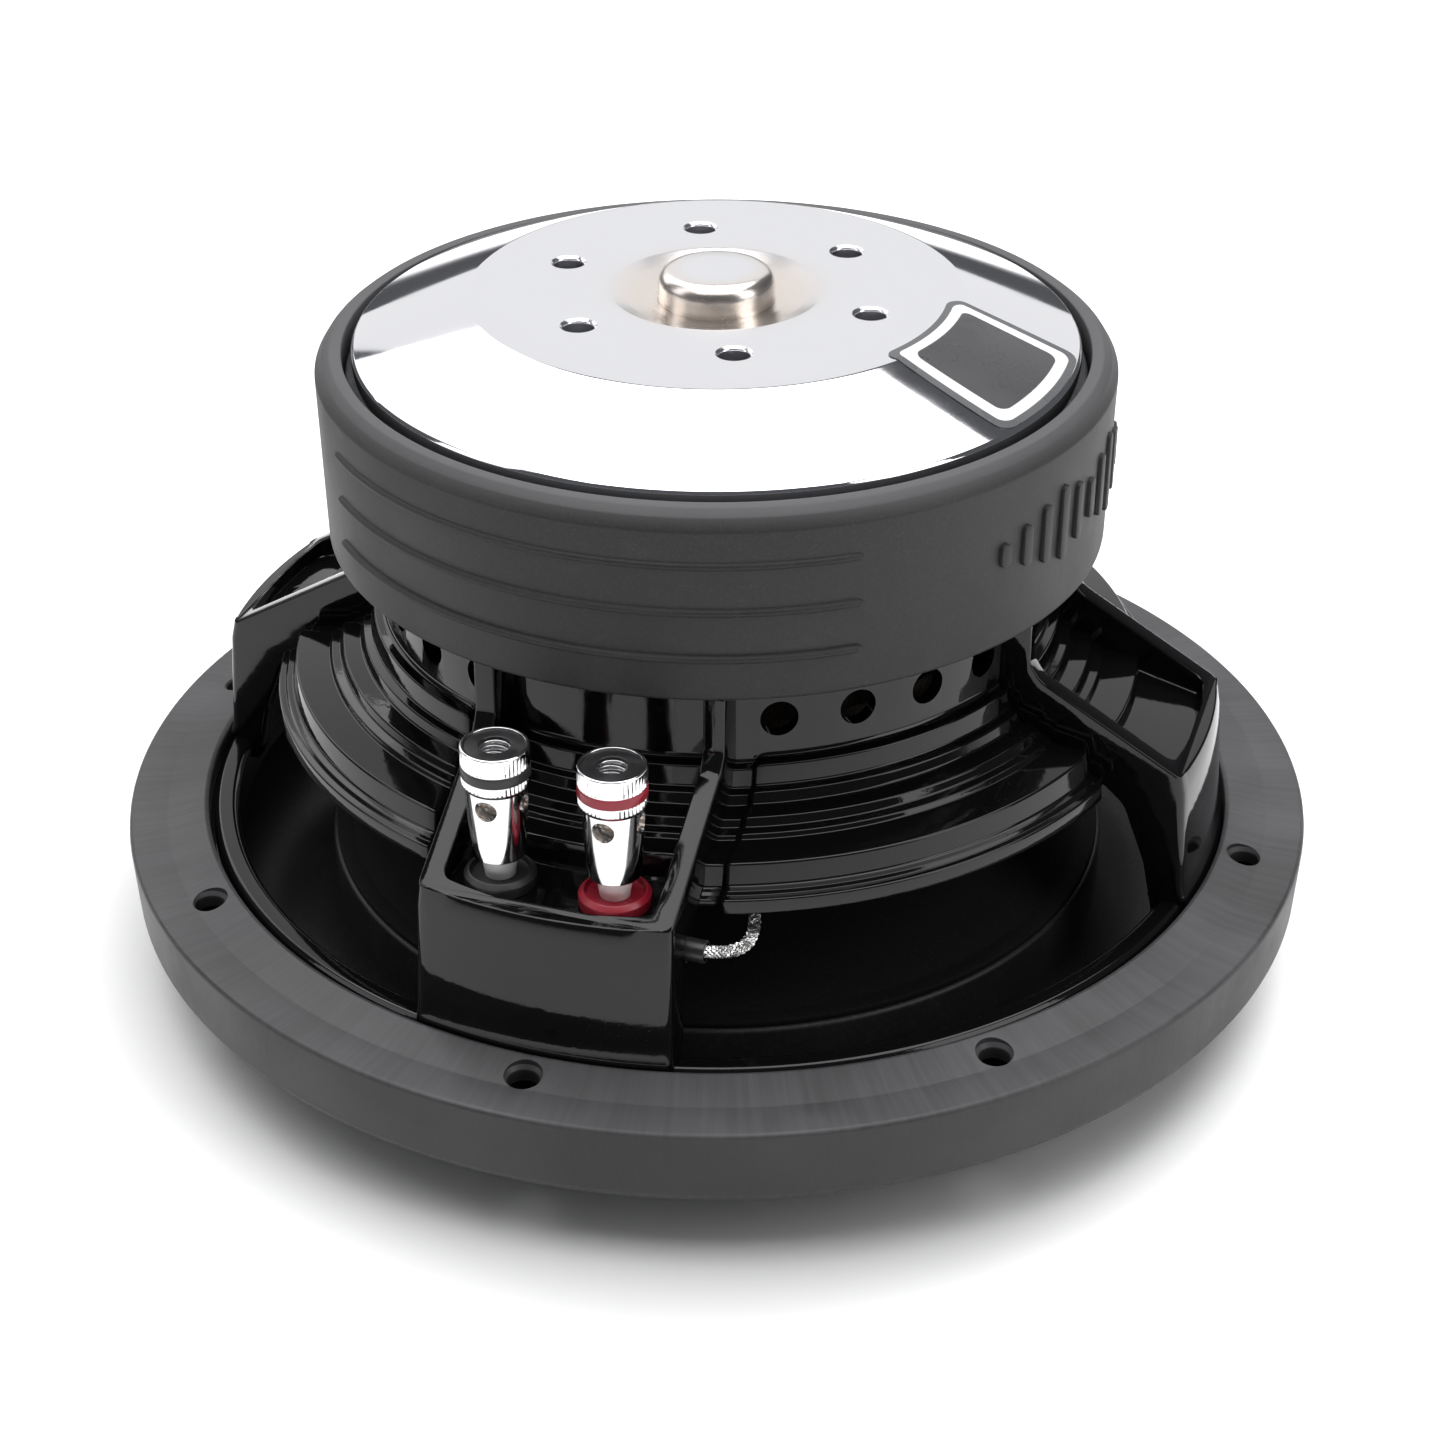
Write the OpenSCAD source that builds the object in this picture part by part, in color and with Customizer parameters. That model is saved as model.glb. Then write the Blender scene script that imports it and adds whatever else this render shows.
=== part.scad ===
// Eight-inch car subwoofer driver, standing face down on the roll of its surround.
// The speaker axis is Z. z = 0 is the surface it stands on, and +Z runs out through the magnet.
// Spokes lie along -Y, +X, +Y and -X; the two wire terminals are on the -Y spoke.

/* [Mounting ring] */
// Outer radius of the rubber gasket
ring_r = 106; // [104:0.5:110]
// Inner radius of the gasket's back face
ring_in_r = 91.8; // [91.6:0.1:92.5]
// Height of the gasket's back face, which seats on the panel
ring_back_z = 27.4; // [27:0.1:28]
// Depth of the gasket from back face to front face
ring_depth = 14; // [13.5:0.1:14.2]
// Radius of the circle of mounting holes
bolt_circle_r = 96.5; // [95:0.25:99]
// Radius of one mounting hole
bolt_hole_r = 2.55; // [2:0.05:3]
// Number of mounting holes
bolt_count = 8; // [4:2:12]

/* [Basket] */
// Outside width of a plain spoke channel
spoke_w = 36; // [32:1:38]
// Outside width of the terminal spoke channel
bracket_w = 42; // [40:1:44]
// Thickness of a spoke's side wall
rib_t = 3.6; // [3:0.1:4.5]
// Height of a spoke's rim at its outer end
rim_z = 51.5; // [51:0.1:52.5]
// Fall of a spoke's rim per millimetre of radius
rim_slope = 0.6; // [0.5:0.02:0.65]
// Outer radius of the neck under the magnet
neck_r = 58; // [57.5:0.1:58.5]
// Radius of one vent hole in the neck
neck_vent_r = 3.1; // [2:0.1:3.5]

/* [Motor] */
// Bottom of the rubber boot and of the motor
motor_z = 80.8; // [80.6:0.1:81]
// Outer radius of the magnet rings
magnet_r = 62.2; // [61:0.1:62.3]
// Outer radius of the chromed back plate
back_r = 61; // [59:0.5:61]
// Radius of the flat face of the back plate
back_flat_r = 40.5; // [36:0.5:44]
// Outer radius of the boot
boot_r = 67.2; // [66:0.1:68]
// Outer radius of the pole
pole_r = 24.4; // [24:0.05:24.5]
// Radius of the circle of back plate vents
back_vent_circle_r = 27.5; // [27:0.1:31]

/* [Cone] */
// Radius of the cone's glued outer edge
cone_r = 69.5; // [68:0.1:69.7]
// Inner radius of the voice coil former
former_r = 25; // [24.9:0.05:25.1]
// Height of the cone's neck on the former
cone_neck_z = 52; // [48:0.5:53]

/* [Terminals] */
// Distance between the two posts
post_pitch = 19.05; // [18:0.05:20]
// Distance from the speaker axis to the line of the posts
post_y = 79.5; // [79:0.1:80]
// Height of the terminal deck
deck_z = 51.5; // [51:0.1:51.6]
// Radius of the banana plug socket
socket_r = 2; // [1.5:0.05:2.1]
// Downward travel of a push sleeve
sleeve_travel = 3.2; // [2:0.1:3.4]

/* [Hidden] */

$fn = 96;
eps = 0.01;
FIT = 0.05;              // radial clearance of a sliding or located round fit

// Mounting ring, from its back to its front
ring_front_z = ring_back_z - ring_depth;
flange_back_z = ring_back_z - 2.4;
flange_front_z = flange_back_z - 4.5;
flange_in_r = 86.5;
flange_out_r = ring_r - 2.6;
land_t = 1.5;            // surround land between the flange and the gasket's front lip

// Surround: a tall half roll that touches z = 0
roll_mid_r = 80;
roll_r = 11;
roll_wall = 1.2;

// Basket bowl
neck_in_r = neck_r - 2.4;
ledge_z = 61.9;          // shelf that the spider is glued to
ledge_in_r = 51.2;
top_ring_t = 3;
top_ring_in_r = 32;
neck_low_z = 66;         // where the neck stands on the stepped bowl
lip_z = 48.4;            // underside of the bowl's outermost step
spoke_angles = [-90, 0, 90, 180];
valley_w = 4;            // gap between the end of a terrace and the spoke beside it
deck_in_r = 73.2;        // inner edge of the terminal deck
neck_vent_pitch = 13;    // degrees between neck vents
neck_vent_z = 71.8;

// Motor, from the basket upward
top_plate_t = 8;
magnet_t = 10;
magnet_z = motor_z + top_plate_t;
back_z = magnet_z + 2 * magnet_t;
back_flat_z = 121.2;
back_edge_z = 113.4;
boot_in_r = magnet_r + 0.4;
boot_top_z = 112.6;
gap_r = 26.9;            // outer radius of the magnetic gap
spigot_r = 9.75;         // staked end of the pole, seen in the back plate's dimple
screw_circle_r = 45;
screw_r = 2.45;
screw_count = 6;
boot_rib_mid = -95;      // direction of the middle of the boot's first group of ribs
boot_rib_span = 86;
label_mid = -8;

// Moving parts
former_t = 0.3;
former_bottom_z = 46;
former_top_z = 98;
winding_r = 26.3;
winding_bottom_z = 72.8;
winding_h = 24;
cone_t = 1.2;
cone_edge_z = flange_front_z - land_t + roll_wall;
cone_in_r = 66;          // radius where the cone turns into its flat glued edge
cone_slope = (cone_neck_z - cone_edge_z) / (cone_in_r - former_r - former_t);
cap_r = 37.6;
cap_z = cone_neck_z - (cap_r - former_r - former_t) * cone_slope - 0.2;
cap_depth = 10;
cap_t = 0.8;
spider_t = 0.6;
spider_in_r = former_r + former_t + 0.02;
spider_roll_start_r = 29;
spider_rolls = 4;
spider_wave = 2;

// Terminal post and its push sleeve, heights from the deck
washer_h = 2.6;
washer_r = 5.75;
washer_recess = 1;
stud_r = 1.6;
bush_r = 3.4;            // insulator spigot in the deck's hole
deck_t = 3.2;
neck_low_r = 2.4;
neck_top_r = 2.95;
shaft_r = 2.7;
collar_r = 3.6;
sleeve_bottom_h = 5.5;
sleeve_top_h = 25.1;
collar_h = sleeve_bottom_h + 0.6;
collar_t = 0.8;
shaft_top_h = 18;
socket_depth = 3.9;      // full-size part of the plug socket
tip_bore_r = 1.8;        // narrower bore below it, for the plug's tip
tip_bore_h = 8;
sleeve_web_h = 23.7;     // underside of the sleeve's top web
sleeve_web_t = 0.6;
cross_h = 15.6;          // wire hole in the sleeve
cross_r = 1.8;
ring_low_h = 20;         // groove of the coloured ring
ring_high_h = 21.85;
head_r = 5.4;
ring_core_r = 4.9;
barrel_low_r = 4.3;
cap_in_r = 4.7;
web_hole_r = 2.3;        // way through the sleeve's web for the plug
top_hole_r = 2.45;       // way through the sleeve's cap
spring_wire = 0.45;
spring_mid_r = 2.42;
spring_turns = 4.5;
lower_washer_t = 1.5;
tab_t = 0.6;
nut_t = 3;
stud_end_h = -10;

// Tinsel leads, from the solder tab to the cone. Points are chosen along the real route.
lead_r = 1.1;
outlet_y = -79.2;        // hole in the terminal spoke's wall that the red lead leaves by
outlet_z = 45;
lead_route_red = [[14.7, outlet_y, outlet_z], [18, outlet_y, outlet_z], [21.3, outlet_y, outlet_z],
    [24.6, -78.9, 45], [27.6, -76.6, 44.2], [28.9, -72.5, 43.4], [28.4, -67.6, 43.2],
    [26.4, -62.2, 43.8], [23.4, -56.4, 44.6], [19.6, -50, 44.4], [16.5, -45.6, 42.3],
    [15.5, -42.7, 38.6]];
lead_route_black = [[-15.1, -79.4, outlet_z], [-15.1, -76.2, outlet_z], [-15.1, -73, outlet_z],
    [-15.2, -69, 44.6], [-15.5, -64, 44.2], [-15.8, -58, 44.4], [-16.2, -51.4, 44.4],
    [-16.4, -45.6, 42.3], [-15.5, -42.7, 38.6]];
lead_sleeve_r = 1.85;

// ---------- shared helpers ----------

module ring(r_out, r_in, h, z = 0) {
    translate([0, 0, z]) difference() {
        cylinder(r = r_out, h = h);
        translate([0, 0, -1]) cylinder(r = r_in, h = h + 2);
    }
}

module around(count, r, first = 0) {
    for (i = [0 : count - 1]) rotate([0, 0, first + i * 360 / count]) translate([r, 0, 0]) children();
}

// A slab through the axis along direction a, of width w, from radius r0 to r1
module slab(a, w, r0 = 40, r1 = 95, z0 = 0, z1 = 90) {
    rotate([0, 0, a]) translate([r0, -w / 2, z0]) cube([r1 - r0, w, z1 - z0]);
}

function width_of(a) = a == -90 ? bracket_w : spoke_w;

// Tube swept along points, each ring square to the mean direction of its neighbours
function unit(v) = v / norm(v);
function heading(p, i) = unit(p[min(i + 1, len(p) - 1)] - p[max(i - 1, 0)]);
function side_of(d) = unit(cross(d, abs(d.z) > 0.9 ? [1, 0, 0] : [0, 0, 1]));
function tube_points(p, r, sides) = [for (i = [0 : len(p) - 1])
    let (d = heading(p, i), s = side_of(d), u = cross(s, d))
    for (k = [0 : sides - 1]) p[i] + r * (cos(k * 360 / sides) * s + sin(k * 360 / sides) * u)];
function tube_faces(n, sides) = concat(
    [[for (k = [0 : sides - 1]) k]],
    [for (i = [0 : n - 2]) for (k = [0 : sides - 1])
        let (k2 = (k + 1) % sides)
        [i * sides + k, (i + 1) * sides + k, (i + 1) * sides + k2, i * sides + k2]],
    [[for (k = [sides - 1 : -1 : 0]) (n - 1) * sides + k]]);
module tube(p, r, sides = 8) {
    polyhedron(tube_points(p, r, sides), tube_faces(len(p), sides));
}

// Catmull-Rom curve through chosen points, steps spans per point
function spline_at(p, i, t) = let (
        a = p[max(i - 1, 0)], b = p[i], c = p[i + 1], d = p[min(i + 2, len(p) - 1)])
    0.5 * (2 * b + (c - a) * t + (2 * a - 5 * b + 4 * c - d) * t * t
        + (3 * b - a - 3 * c + d) * t * t * t);
function smooth(p, steps) = concat(
    [for (i = [0 : len(p) - 2]) for (k = [0 : steps - 1]) spline_at(p, i, k / steps)],
    [p[len(p) - 1]]);

// ---------- basket, one casting in seven nodes that meet face to face ----------

// Half section of the stepped bowl and the shelf that the spider is glued to
module bowl_section() {
    polygon([[neck_r, neck_low_z], [60.3, 64.5], [62, 60.9], [65.9, 58.6],
        [66.6, 57.2], [68, 56.9], [74.3, 55.6], [74.9, 51.8], [77.6, 51], [77.8, lip_z],
        [75.4, lip_z], [72.3, 49.8], [71.9, 53.2], [66, 54.3], [63.6, 56.2], [59.6, 58.6],
        [ledge_in_r, 59.2], [ledge_in_r, ledge_z], [neck_in_r, ledge_z], [neck_in_r, neck_low_z]]);
}

// Half section of the neck and the ring that the motor is screwed to
module neck_section() {
    polygon([[neck_r, motor_z], [neck_r, neck_low_z], [neck_in_r, neck_low_z],
        [neck_in_r, motor_z - top_ring_t], [top_ring_in_r, motor_z - top_ring_t],
        [top_ring_in_r, motor_z]]);
}

// Half section of the flange with its raised inner lip
module flange_section() {
    polygon([[flange_in_r, flange_front_z], [flange_out_r, flange_front_z],
        [flange_out_r, flange_back_z], [90.8, flange_back_z], [90.8, 27.4], [90.2, 28],
        [87.2, 28], [flange_in_r, 27.3]]);
}

// What is cut from the bowl beside each spoke, so that its terraces end in corners
module valley_section() {
    polygon([[60.6, 68], [62.8, 59], [66.5, 56], [73, 54.3], [73.6, 50.4], [75.9, 49.8],
        [75.9, 40], [95, 40], [95, 68]]);
}

module bowl_body() {
    difference() {
        rotate_extrude() bowl_section();
        intersection() {
            rotate_extrude() valley_section();
            union() {
                for (a = spoke_angles)
                    for (s = [-1, 1])
                        rotate([0, 0, a])
                            translate([52, s * (width_of(a) + valley_w) / 2 - valley_w / 2, 40])
                                cube([30, valley_w, 30]);
            }
        }
        // the terminals' deck, with their washers on it, takes the place of the bowl's last step
        intersection() {
            translate([0, 0, lip_z - 1]) ring(82, deck_in_r, 20);
            slab(-90, bracket_w - 2 * rib_t);
        }
    }
}

module basket_flange() {
    color([0.03, 0.03, 0.035]) difference() {
        rotate_extrude() flange_section();
        around(bolt_count, bolt_circle_r) translate([0, 0, flange_front_z - 1])
            cylinder(r = bolt_hole_r, h = 10);
    }
}

module basket_bowl() {
    color([0.03, 0.03, 0.035]) bowl_body();
}

module basket_neck() {
    color([0.03, 0.03, 0.035]) difference() {
        rotate_extrude() neck_section();
        around(screw_count, screw_circle_r) translate([0, 0, motor_z - 6])
            cylinder(r = screw_r + 0.3, h = 8);
        // four vents between each pair of spokes
        for (a = spoke_angles)
            for (i = [0 : 3])
                rotate([0, 0, a + 28 + i * neck_vent_pitch]) translate([neck_r - 5, 0, neck_vent_z])
                    rotate([0, 90, 0]) cylinder(r = neck_vent_r, h = 8);
    }
}

// Side wall of a spoke: pilaster on the neck, sloping rim, and a leg down to the flange
module rib_side() {
    rotate([90, 0, 0]) translate([0, 0, -rib_t / 2]) linear_extrude(rib_t)
        polygon([[50, motor_z], [58.4, motor_z], [58.4, motor_z - 0.5], [60, motor_z - 2],
            [60, rim_z + (87.5 - 60) * rim_slope + 3],
            [62, rim_z + (87.5 - 62) * rim_slope], [86, rim_z + (87.5 - 86) * rim_slope],
            [87, rim_z - 2], [87, flange_back_z - 1], [83.6, flange_back_z - 1],
            [82.5, 32], [77.5, 45.5], [74, lip_z], [58.5, 59.4], [50, 60]]);
}

module spoke_walls(a) {
    w = width_of(a);
    difference() {
        for (s = [-1, 1]) rotate([0, 0, a]) translate([0, s * (w - rib_t) / 2, 0]) rib_side();
        cylinder(r = neck_r - 1, h = 100);
    }
    // outer wall, flared at its foot
    intersection() {
        rotate_extrude() polygon([[85.8, flange_back_z - 1], [91.3, flange_back_z - 1],
            [91.3, 29], [90.6, 32], [90.2, 36], [89.2, 49], [88.4, rim_z + 0.7],
            [86.6, rim_z + 0.7], [85.8, 49]]);
        slab(a, w);
    }
    // floor of the channel outside the bowl's last step
    intersection() {
        rotate_extrude() if (a == -90) deck_section(); else floor_section();
        slab(a, w - 2 * rib_t + 0.4);
    }
}

module spoke(a) {
    color([0.03, 0.03, 0.035]) difference() {
        spoke_walls(a);
        bowl_body();
        rotate_extrude() neck_section();
        rotate_extrude() flange_section();
        if (a == -90) {
            for (s = [-1, 1]) translate([s * post_pitch / 2, -post_y, deck_z - deck_t - 1])
                cylinder(r = bush_r + FIT, h = deck_t + 2);
            // lead outlet in the right wall
            translate([12, outlet_y, outlet_z]) rotate([0, 90, 0])
                cylinder(r = lead_sleeve_r + 0.3, h = 14);
        }
    }
}

module deck_section() {
    translate([deck_in_r - 0.4, deck_z - deck_t]) square([86.4 - deck_in_r + 0.4, deck_t]);
}

module floor_section() {
    polygon([[73, 49.8], [73, 53.4], [74.9, 53], [86.4, 49.8], [86.4, 47], [76, 49.6]]);
}

// ---------- mounting ring and soft parts ----------

module mounting_gasket() {
    color([0.25, 0.25, 0.27]) difference() {
        rotate_extrude() polygon([[ring_in_r, flange_back_z], [ring_in_r, 28.3],
            [ring_in_r + 0.7, 28.9], [99, ring_back_z + 0.1], [100, ring_back_z],
            [ring_r - 0.8, ring_back_z], [ring_r, ring_back_z - 0.8],
            [ring_r - 0.6, ring_front_z + 2], [ring_r - 1.6, ring_front_z + 0.3],
            [ring_r - 2.4, ring_front_z], [ring_in_r + 1, ring_front_z],
            [ring_in_r + 1, flange_front_z - land_t], [flange_out_r + 0.1, flange_front_z - land_t],
            [flange_out_r + 0.1, flange_back_z]]);
        around(bolt_count, bolt_circle_r) translate([0, 0, 5]) cylinder(r = bolt_hole_r, h = 30);
    }
}

module surround() {
    land_z = flange_front_z - land_t;
    color([0.1, 0.1, 0.1]) difference() {
        rotate_extrude() {
            difference() {
                union() {
                    translate([roll_mid_r, roll_r]) circle(r = roll_r);
                    translate([roll_mid_r - roll_r, roll_r])
                        square([2 * roll_r, land_z + roll_wall - roll_r]);
                }
                translate([roll_mid_r, roll_r]) circle(r = roll_r - roll_wall);
                translate([roll_mid_r - roll_r + roll_wall, roll_r])
                    square([2 * (roll_r - roll_wall), land_z]);
            }
            translate([64.5, land_z]) square([roll_mid_r - roll_r + roll_wall - 64.5, roll_wall]);
            translate([roll_mid_r + roll_r - roll_wall, land_z])
                square([flange_out_r - 0.1 - roll_mid_r - roll_r + roll_wall, land_t]);
        }
        around(bolt_count, bolt_circle_r) translate([0, 0, 5]) cylinder(r = bolt_hole_r, h = 30);
    }
}

module cone() {
    neck = former_r + former_t + 0.02;
    color([0.09, 0.09, 0.09]) rotate_extrude()
        polygon([[neck, cone_neck_z], [cone_in_r, cone_edge_z], [cone_r, cone_edge_z],
            [cone_r, cone_edge_z + cone_t], [cone_in_r + 0.5, cone_edge_z + cone_t],
            [neck, cone_neck_z + cone_t + 0.4]]);
}

module dust_cap() {
    ball_r = (cap_r * cap_r + cap_depth * cap_depth) / (2 * cap_depth);
    color([0.08, 0.08, 0.08]) intersection() {
        translate([0, 0, cap_z - cap_depth + ball_r]) difference() {
            sphere(r = ball_r, $fn = 160);
            sphere(r = ball_r - cap_t, $fn = 160);
        }
        cylinder(r = cap_r + 1, h = cap_z);
    }
}

// Mid line of the spider's corrugations
spider_step = (ledge_in_r - 0.4 - spider_roll_start_r) / (spider_rolls * 12);
function spider_point(i) = [spider_roll_start_r + i * spider_step,
    ledge_z + spider_t / 2 + spider_wave * sin(i * 30)];
module spider() {
    n = spider_rolls * 12;
    up = [for (i = [0 : n]) spider_point(i) + [0, spider_t / 2]];
    down = [for (i = [n : -1 : 0]) spider_point(i) - [0, spider_t / 2]];
    color([0.72, 0.6, 0.32]) rotate_extrude() polygon(concat(
        [[spider_in_r, ledge_z], [spider_in_r, ledge_z + spider_t]], up,
        [[neck_in_r - 0.1, ledge_z + spider_t], [neck_in_r - 0.1, ledge_z]], down));
}

module voice_coil_former() {
    color([0.75, 0.72, 0.62])
        ring(former_r + former_t, former_r, former_top_z - former_bottom_z, former_bottom_z);
}

module voice_coil_winding() {
    color([0.72, 0.4, 0.18])
        ring(winding_r, former_r + former_t, winding_h, winding_bottom_z);
}

// ---------- motor ----------

module top_plate() {
    color([0.5, 0.5, 0.52]) difference() {
        ring(60, gap_r, top_plate_t, motor_z);
        around(screw_count, screw_circle_r) translate([0, 0, motor_z - 1])
            cylinder(r = screw_r + FIT, h = 7.4);
    }
}

module magnet(z) {
    color([0.16, 0.16, 0.17]) ring(magnet_r, top_ring_in_r, magnet_t, z);
}

module back_plate() {
    color([0.85, 0.85, 0.86]) difference() {
        rotate_extrude() polygon([[spigot_r + FIT, back_z], [pole_r + 0.2, back_z],
            [pole_r + 0.2, back_z + 5.7], [34, back_z + 5.7], [34, back_z], [back_r - 0.4, back_z],
            [back_r, back_z + 0.4], [back_r, back_edge_z - 0.5], [back_r - 0.4, back_edge_z],
            [back_flat_r + 0.8, back_flat_z - 0.2], [back_flat_r - 0.4, back_flat_z],
            [18, back_flat_z], [16.2, back_flat_z - 0.3], [12.5, back_flat_z - 1.6],
            [spigot_r + FIT, back_flat_z - 1.9]]);
        around(6, back_vent_circle_r, -6) {
            translate([0, 0, back_z]) cylinder(r = 2.5, h = 20);
            translate([0, 0, back_flat_z - 0.6]) cylinder(r1 = 2.5, r2 = 3.15, h = 0.6 + eps);
        }
    }
}

module pole_piece() {
    top = back_flat_z + 3.6;
    color([0.8, 0.8, 0.8]) rotate_extrude() polygon([[0, motor_z], [pole_r - 0.5, motor_z],
        [pole_r, motor_z + 0.5], [pole_r, back_z], [spigot_r, back_z], [spigot_r, top - 1.9],
        [spigot_r - 0.5, top - 0.9], [spigot_r - 1.6, top - 0.25], [spigot_r - 3, top], [0, top]]);
}

module magnet_boot() {
    color([0.2, 0.2, 0.2]) {
        rotate_extrude() polygon([[boot_in_r, motor_z - 0.4], [boot_r - 0.5, motor_z - 0.4],
            [boot_r, boot_top_z - 2.9], [boot_r - 1.2, boot_top_z - 1.2],
            [boot_r - 2.6, boot_top_z], [boot_in_r, boot_top_z]]);
        // two groups of three raised ribs
        for (side = [0, 180])
            for (z = [88, 96, 103.9])
                rotate([0, 0, boot_rib_mid + side - boot_rib_span / 2])
                    rotate_extrude(angle = boot_rib_span)
                        translate([boot_r - 1, z - 0.7]) square([1.6, 1.4]);
    }
}

module rating_label() {
    slope = (back_flat_z - 0.2 - back_edge_z) / (back_r - 0.4 - back_flat_r - 0.8);
    r_low = back_r - 0.8;
    r_high = back_flat_r + 1.2;
    z_low = back_edge_z + 0.4 * slope;
    z_high = z_low + (r_low - r_high) * slope;
    color([0.12, 0.12, 0.13]) rotate([0, 0, label_mid - 14]) rotate_extrude(angle = 28)
        polygon([[r_low, z_low + 0.02], [r_low, z_low + 0.3], [r_high, z_high + 0.3],
            [r_high, z_high + 0.02]]);
}

module motor_screws() {
    head_h = 4.5;
    color([0.12, 0.12, 0.12]) around(screw_count, screw_circle_r) {
        translate([0, 0, motor_z - top_ring_t]) cylinder(r = screw_r, h = top_ring_t + 6);
        translate([0, 0, motor_z - top_ring_t - head_h]) difference() {
            cylinder(r = 4.2, h = head_h);
            translate([0, 0, -eps]) cylinder(r = 2.3, h = 2.6, $fn = 6);
        }
    }
}

// ---------- terminals ----------

// Places a terminal piece: s is -1 for the black post and 1 for the red one, z counts from the deck
module at_post(s) {
    translate([s * post_pitch / 2, -post_y, deck_z]) children();
}

module post() {
    color([0.8, 0.78, 0.72]) difference() {
        rotate_extrude() polygon([[0, stud_end_h], [stud_r, stud_end_h],
            [stud_r, washer_h - washer_recess], [neck_low_r, washer_h - washer_recess],
            [neck_top_r, sleeve_bottom_h], [neck_top_r, collar_h], [collar_r, collar_h],
            [collar_r, collar_h + collar_t], [shaft_r, collar_h + collar_t],
            [shaft_r, shaft_top_h], [0, shaft_top_h]]);
        translate([0, 0, shaft_top_h - socket_depth]) cylinder(r = socket_r, h = socket_depth + 1);
        translate([0, 0, tip_bore_h]) cylinder(r = tip_bore_r, h = shaft_top_h - tip_bore_h);
        // wire hole, which meets the sleeve's hole when the sleeve is pushed down
        for (a = [0, 90]) rotate([0, 0, a]) translate([-6, 0, cross_h - sleeve_travel])
            rotate([0, 90, 0]) cylinder(r = cross_r - 0.3, h = 12);
    }
}

module push_sleeve() {
    lip = 0.5;
    color([0.85, 0.85, 0.87]) difference() {
        rotate_extrude() polygon([[neck_top_r + 0.1, sleeve_bottom_h], [barrel_low_r - 0.3, sleeve_bottom_h],
            [barrel_low_r, sleeve_bottom_h + 0.4], [4.95, 18], [head_r - 0.1, 18.7], [head_r, 19],
            [head_r, ring_low_h], [ring_core_r, ring_low_h], [ring_core_r, ring_high_h],
            [head_r, ring_high_h], [head_r, sleeve_top_h - 0.4], [head_r - 0.4, sleeve_top_h],
            [cap_in_r + FIT, sleeve_top_h], [cap_in_r + FIT, sleeve_web_h + sleeve_web_t],
            [web_hole_r, sleeve_web_h + sleeve_web_t], [web_hole_r, sleeve_web_h],
            [shaft_r + FIT, sleeve_web_h], [shaft_r + FIT, collar_h + collar_t + sleeve_travel + 0.3],
            [collar_r + FIT, collar_h + collar_t + sleeve_travel + 0.3],
            [collar_r + FIT, sleeve_bottom_h + lip], [neck_top_r + 0.1, sleeve_bottom_h + lip]]);
        for (a = [0, 90]) rotate([0, 0, a]) translate([-6, 0, cross_h]) rotate([0, 90, 0])
            cylinder(r = cross_r, h = 12);
    }
}

module sleeve_ring() {
    ring(head_r + 0.05, ring_core_r + 0.02, ring_high_h - ring_low_h, ring_low_h);
}

module sleeve_cap() {
    low = sleeve_web_h + sleeve_web_t;
    color([0.1, 0.1, 0.1]) ring(cap_in_r, top_hole_r, sleeve_top_h - low - 0.2, low);
}

module return_spring() {
    low = shaft_top_h + spring_wire / 2;
    high = sleeve_web_h - spring_wire / 2;
    steps = 54;
    route = [for (i = [0 : steps]) let (a = i * spring_turns * 360 / steps)
        [spring_mid_r * cos(a), spring_mid_r * sin(a), low + (high - low) * i / steps]];
    color([0.7, 0.7, 0.72]) tube(route, spring_wire / 2, 6);
}

// Coloured shouldered washer, with a bush that lines the deck's hole
module insulator() {
    floor_h = washer_h - washer_recess;
    rotate_extrude() polygon([[stud_r + FIT, -deck_t], [bush_r, -deck_t], [bush_r, 0], [washer_r, 0],
        [washer_r, washer_h - 0.7], [washer_r - 0.7, washer_h], [4.8, washer_h], [4.6, floor_h],
        [stud_r + FIT, floor_h]]);
}

module lower_insulator() {
    color([0.1, 0.1, 0.1]) ring(5.2, stud_r + FIT, lower_washer_t, -deck_t - lower_washer_t);
}

module solder_tab(s) {
    z = -deck_t - lower_washer_t - tab_t;
    color([0.85, 0.7, 0.35]) difference() {
        translate([0, 0, z]) union() {
            cylinder(r = 3.8, h = tab_t);
            translate([s > 0 ? 0 : -6.6, -1.6, 0]) cube([6.6, 3.2, tab_t]);
        }
        translate([0, 0, z - 1]) cylinder(r = stud_r + FIT, h = tab_t + 2);
    }
}

module terminal_nuts() {
    z = -deck_t - lower_washer_t - tab_t - nut_t;
    color([0.8, 0.8, 0.8]) for (s = [-1, 1]) at_post(s) difference() {
        translate([0, 0, z]) cylinder(r = 4.04, h = nut_t, $fn = 6);
        translate([0, 0, z - 1]) cylinder(r = stud_r + FIT, h = nut_t + 2);
    }
}

// ---------- leads ----------

module tinsel_lead(route) {
    color([0.78, 0.78, 0.78]) tube(smooth(route, 3), lead_r, 8);
}

// Black sleeve on the part of each lead next to its terminal
module lead_sleeve(from, to) {
    d = to - from;
    color([0.08, 0.08, 0.08]) translate(from)
        rotate([0, acos(d.z / norm(d)), atan2(d.y, d.x)])
            ring(lead_sleeve_r, lead_r + 0.3, norm(d));
}

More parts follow.
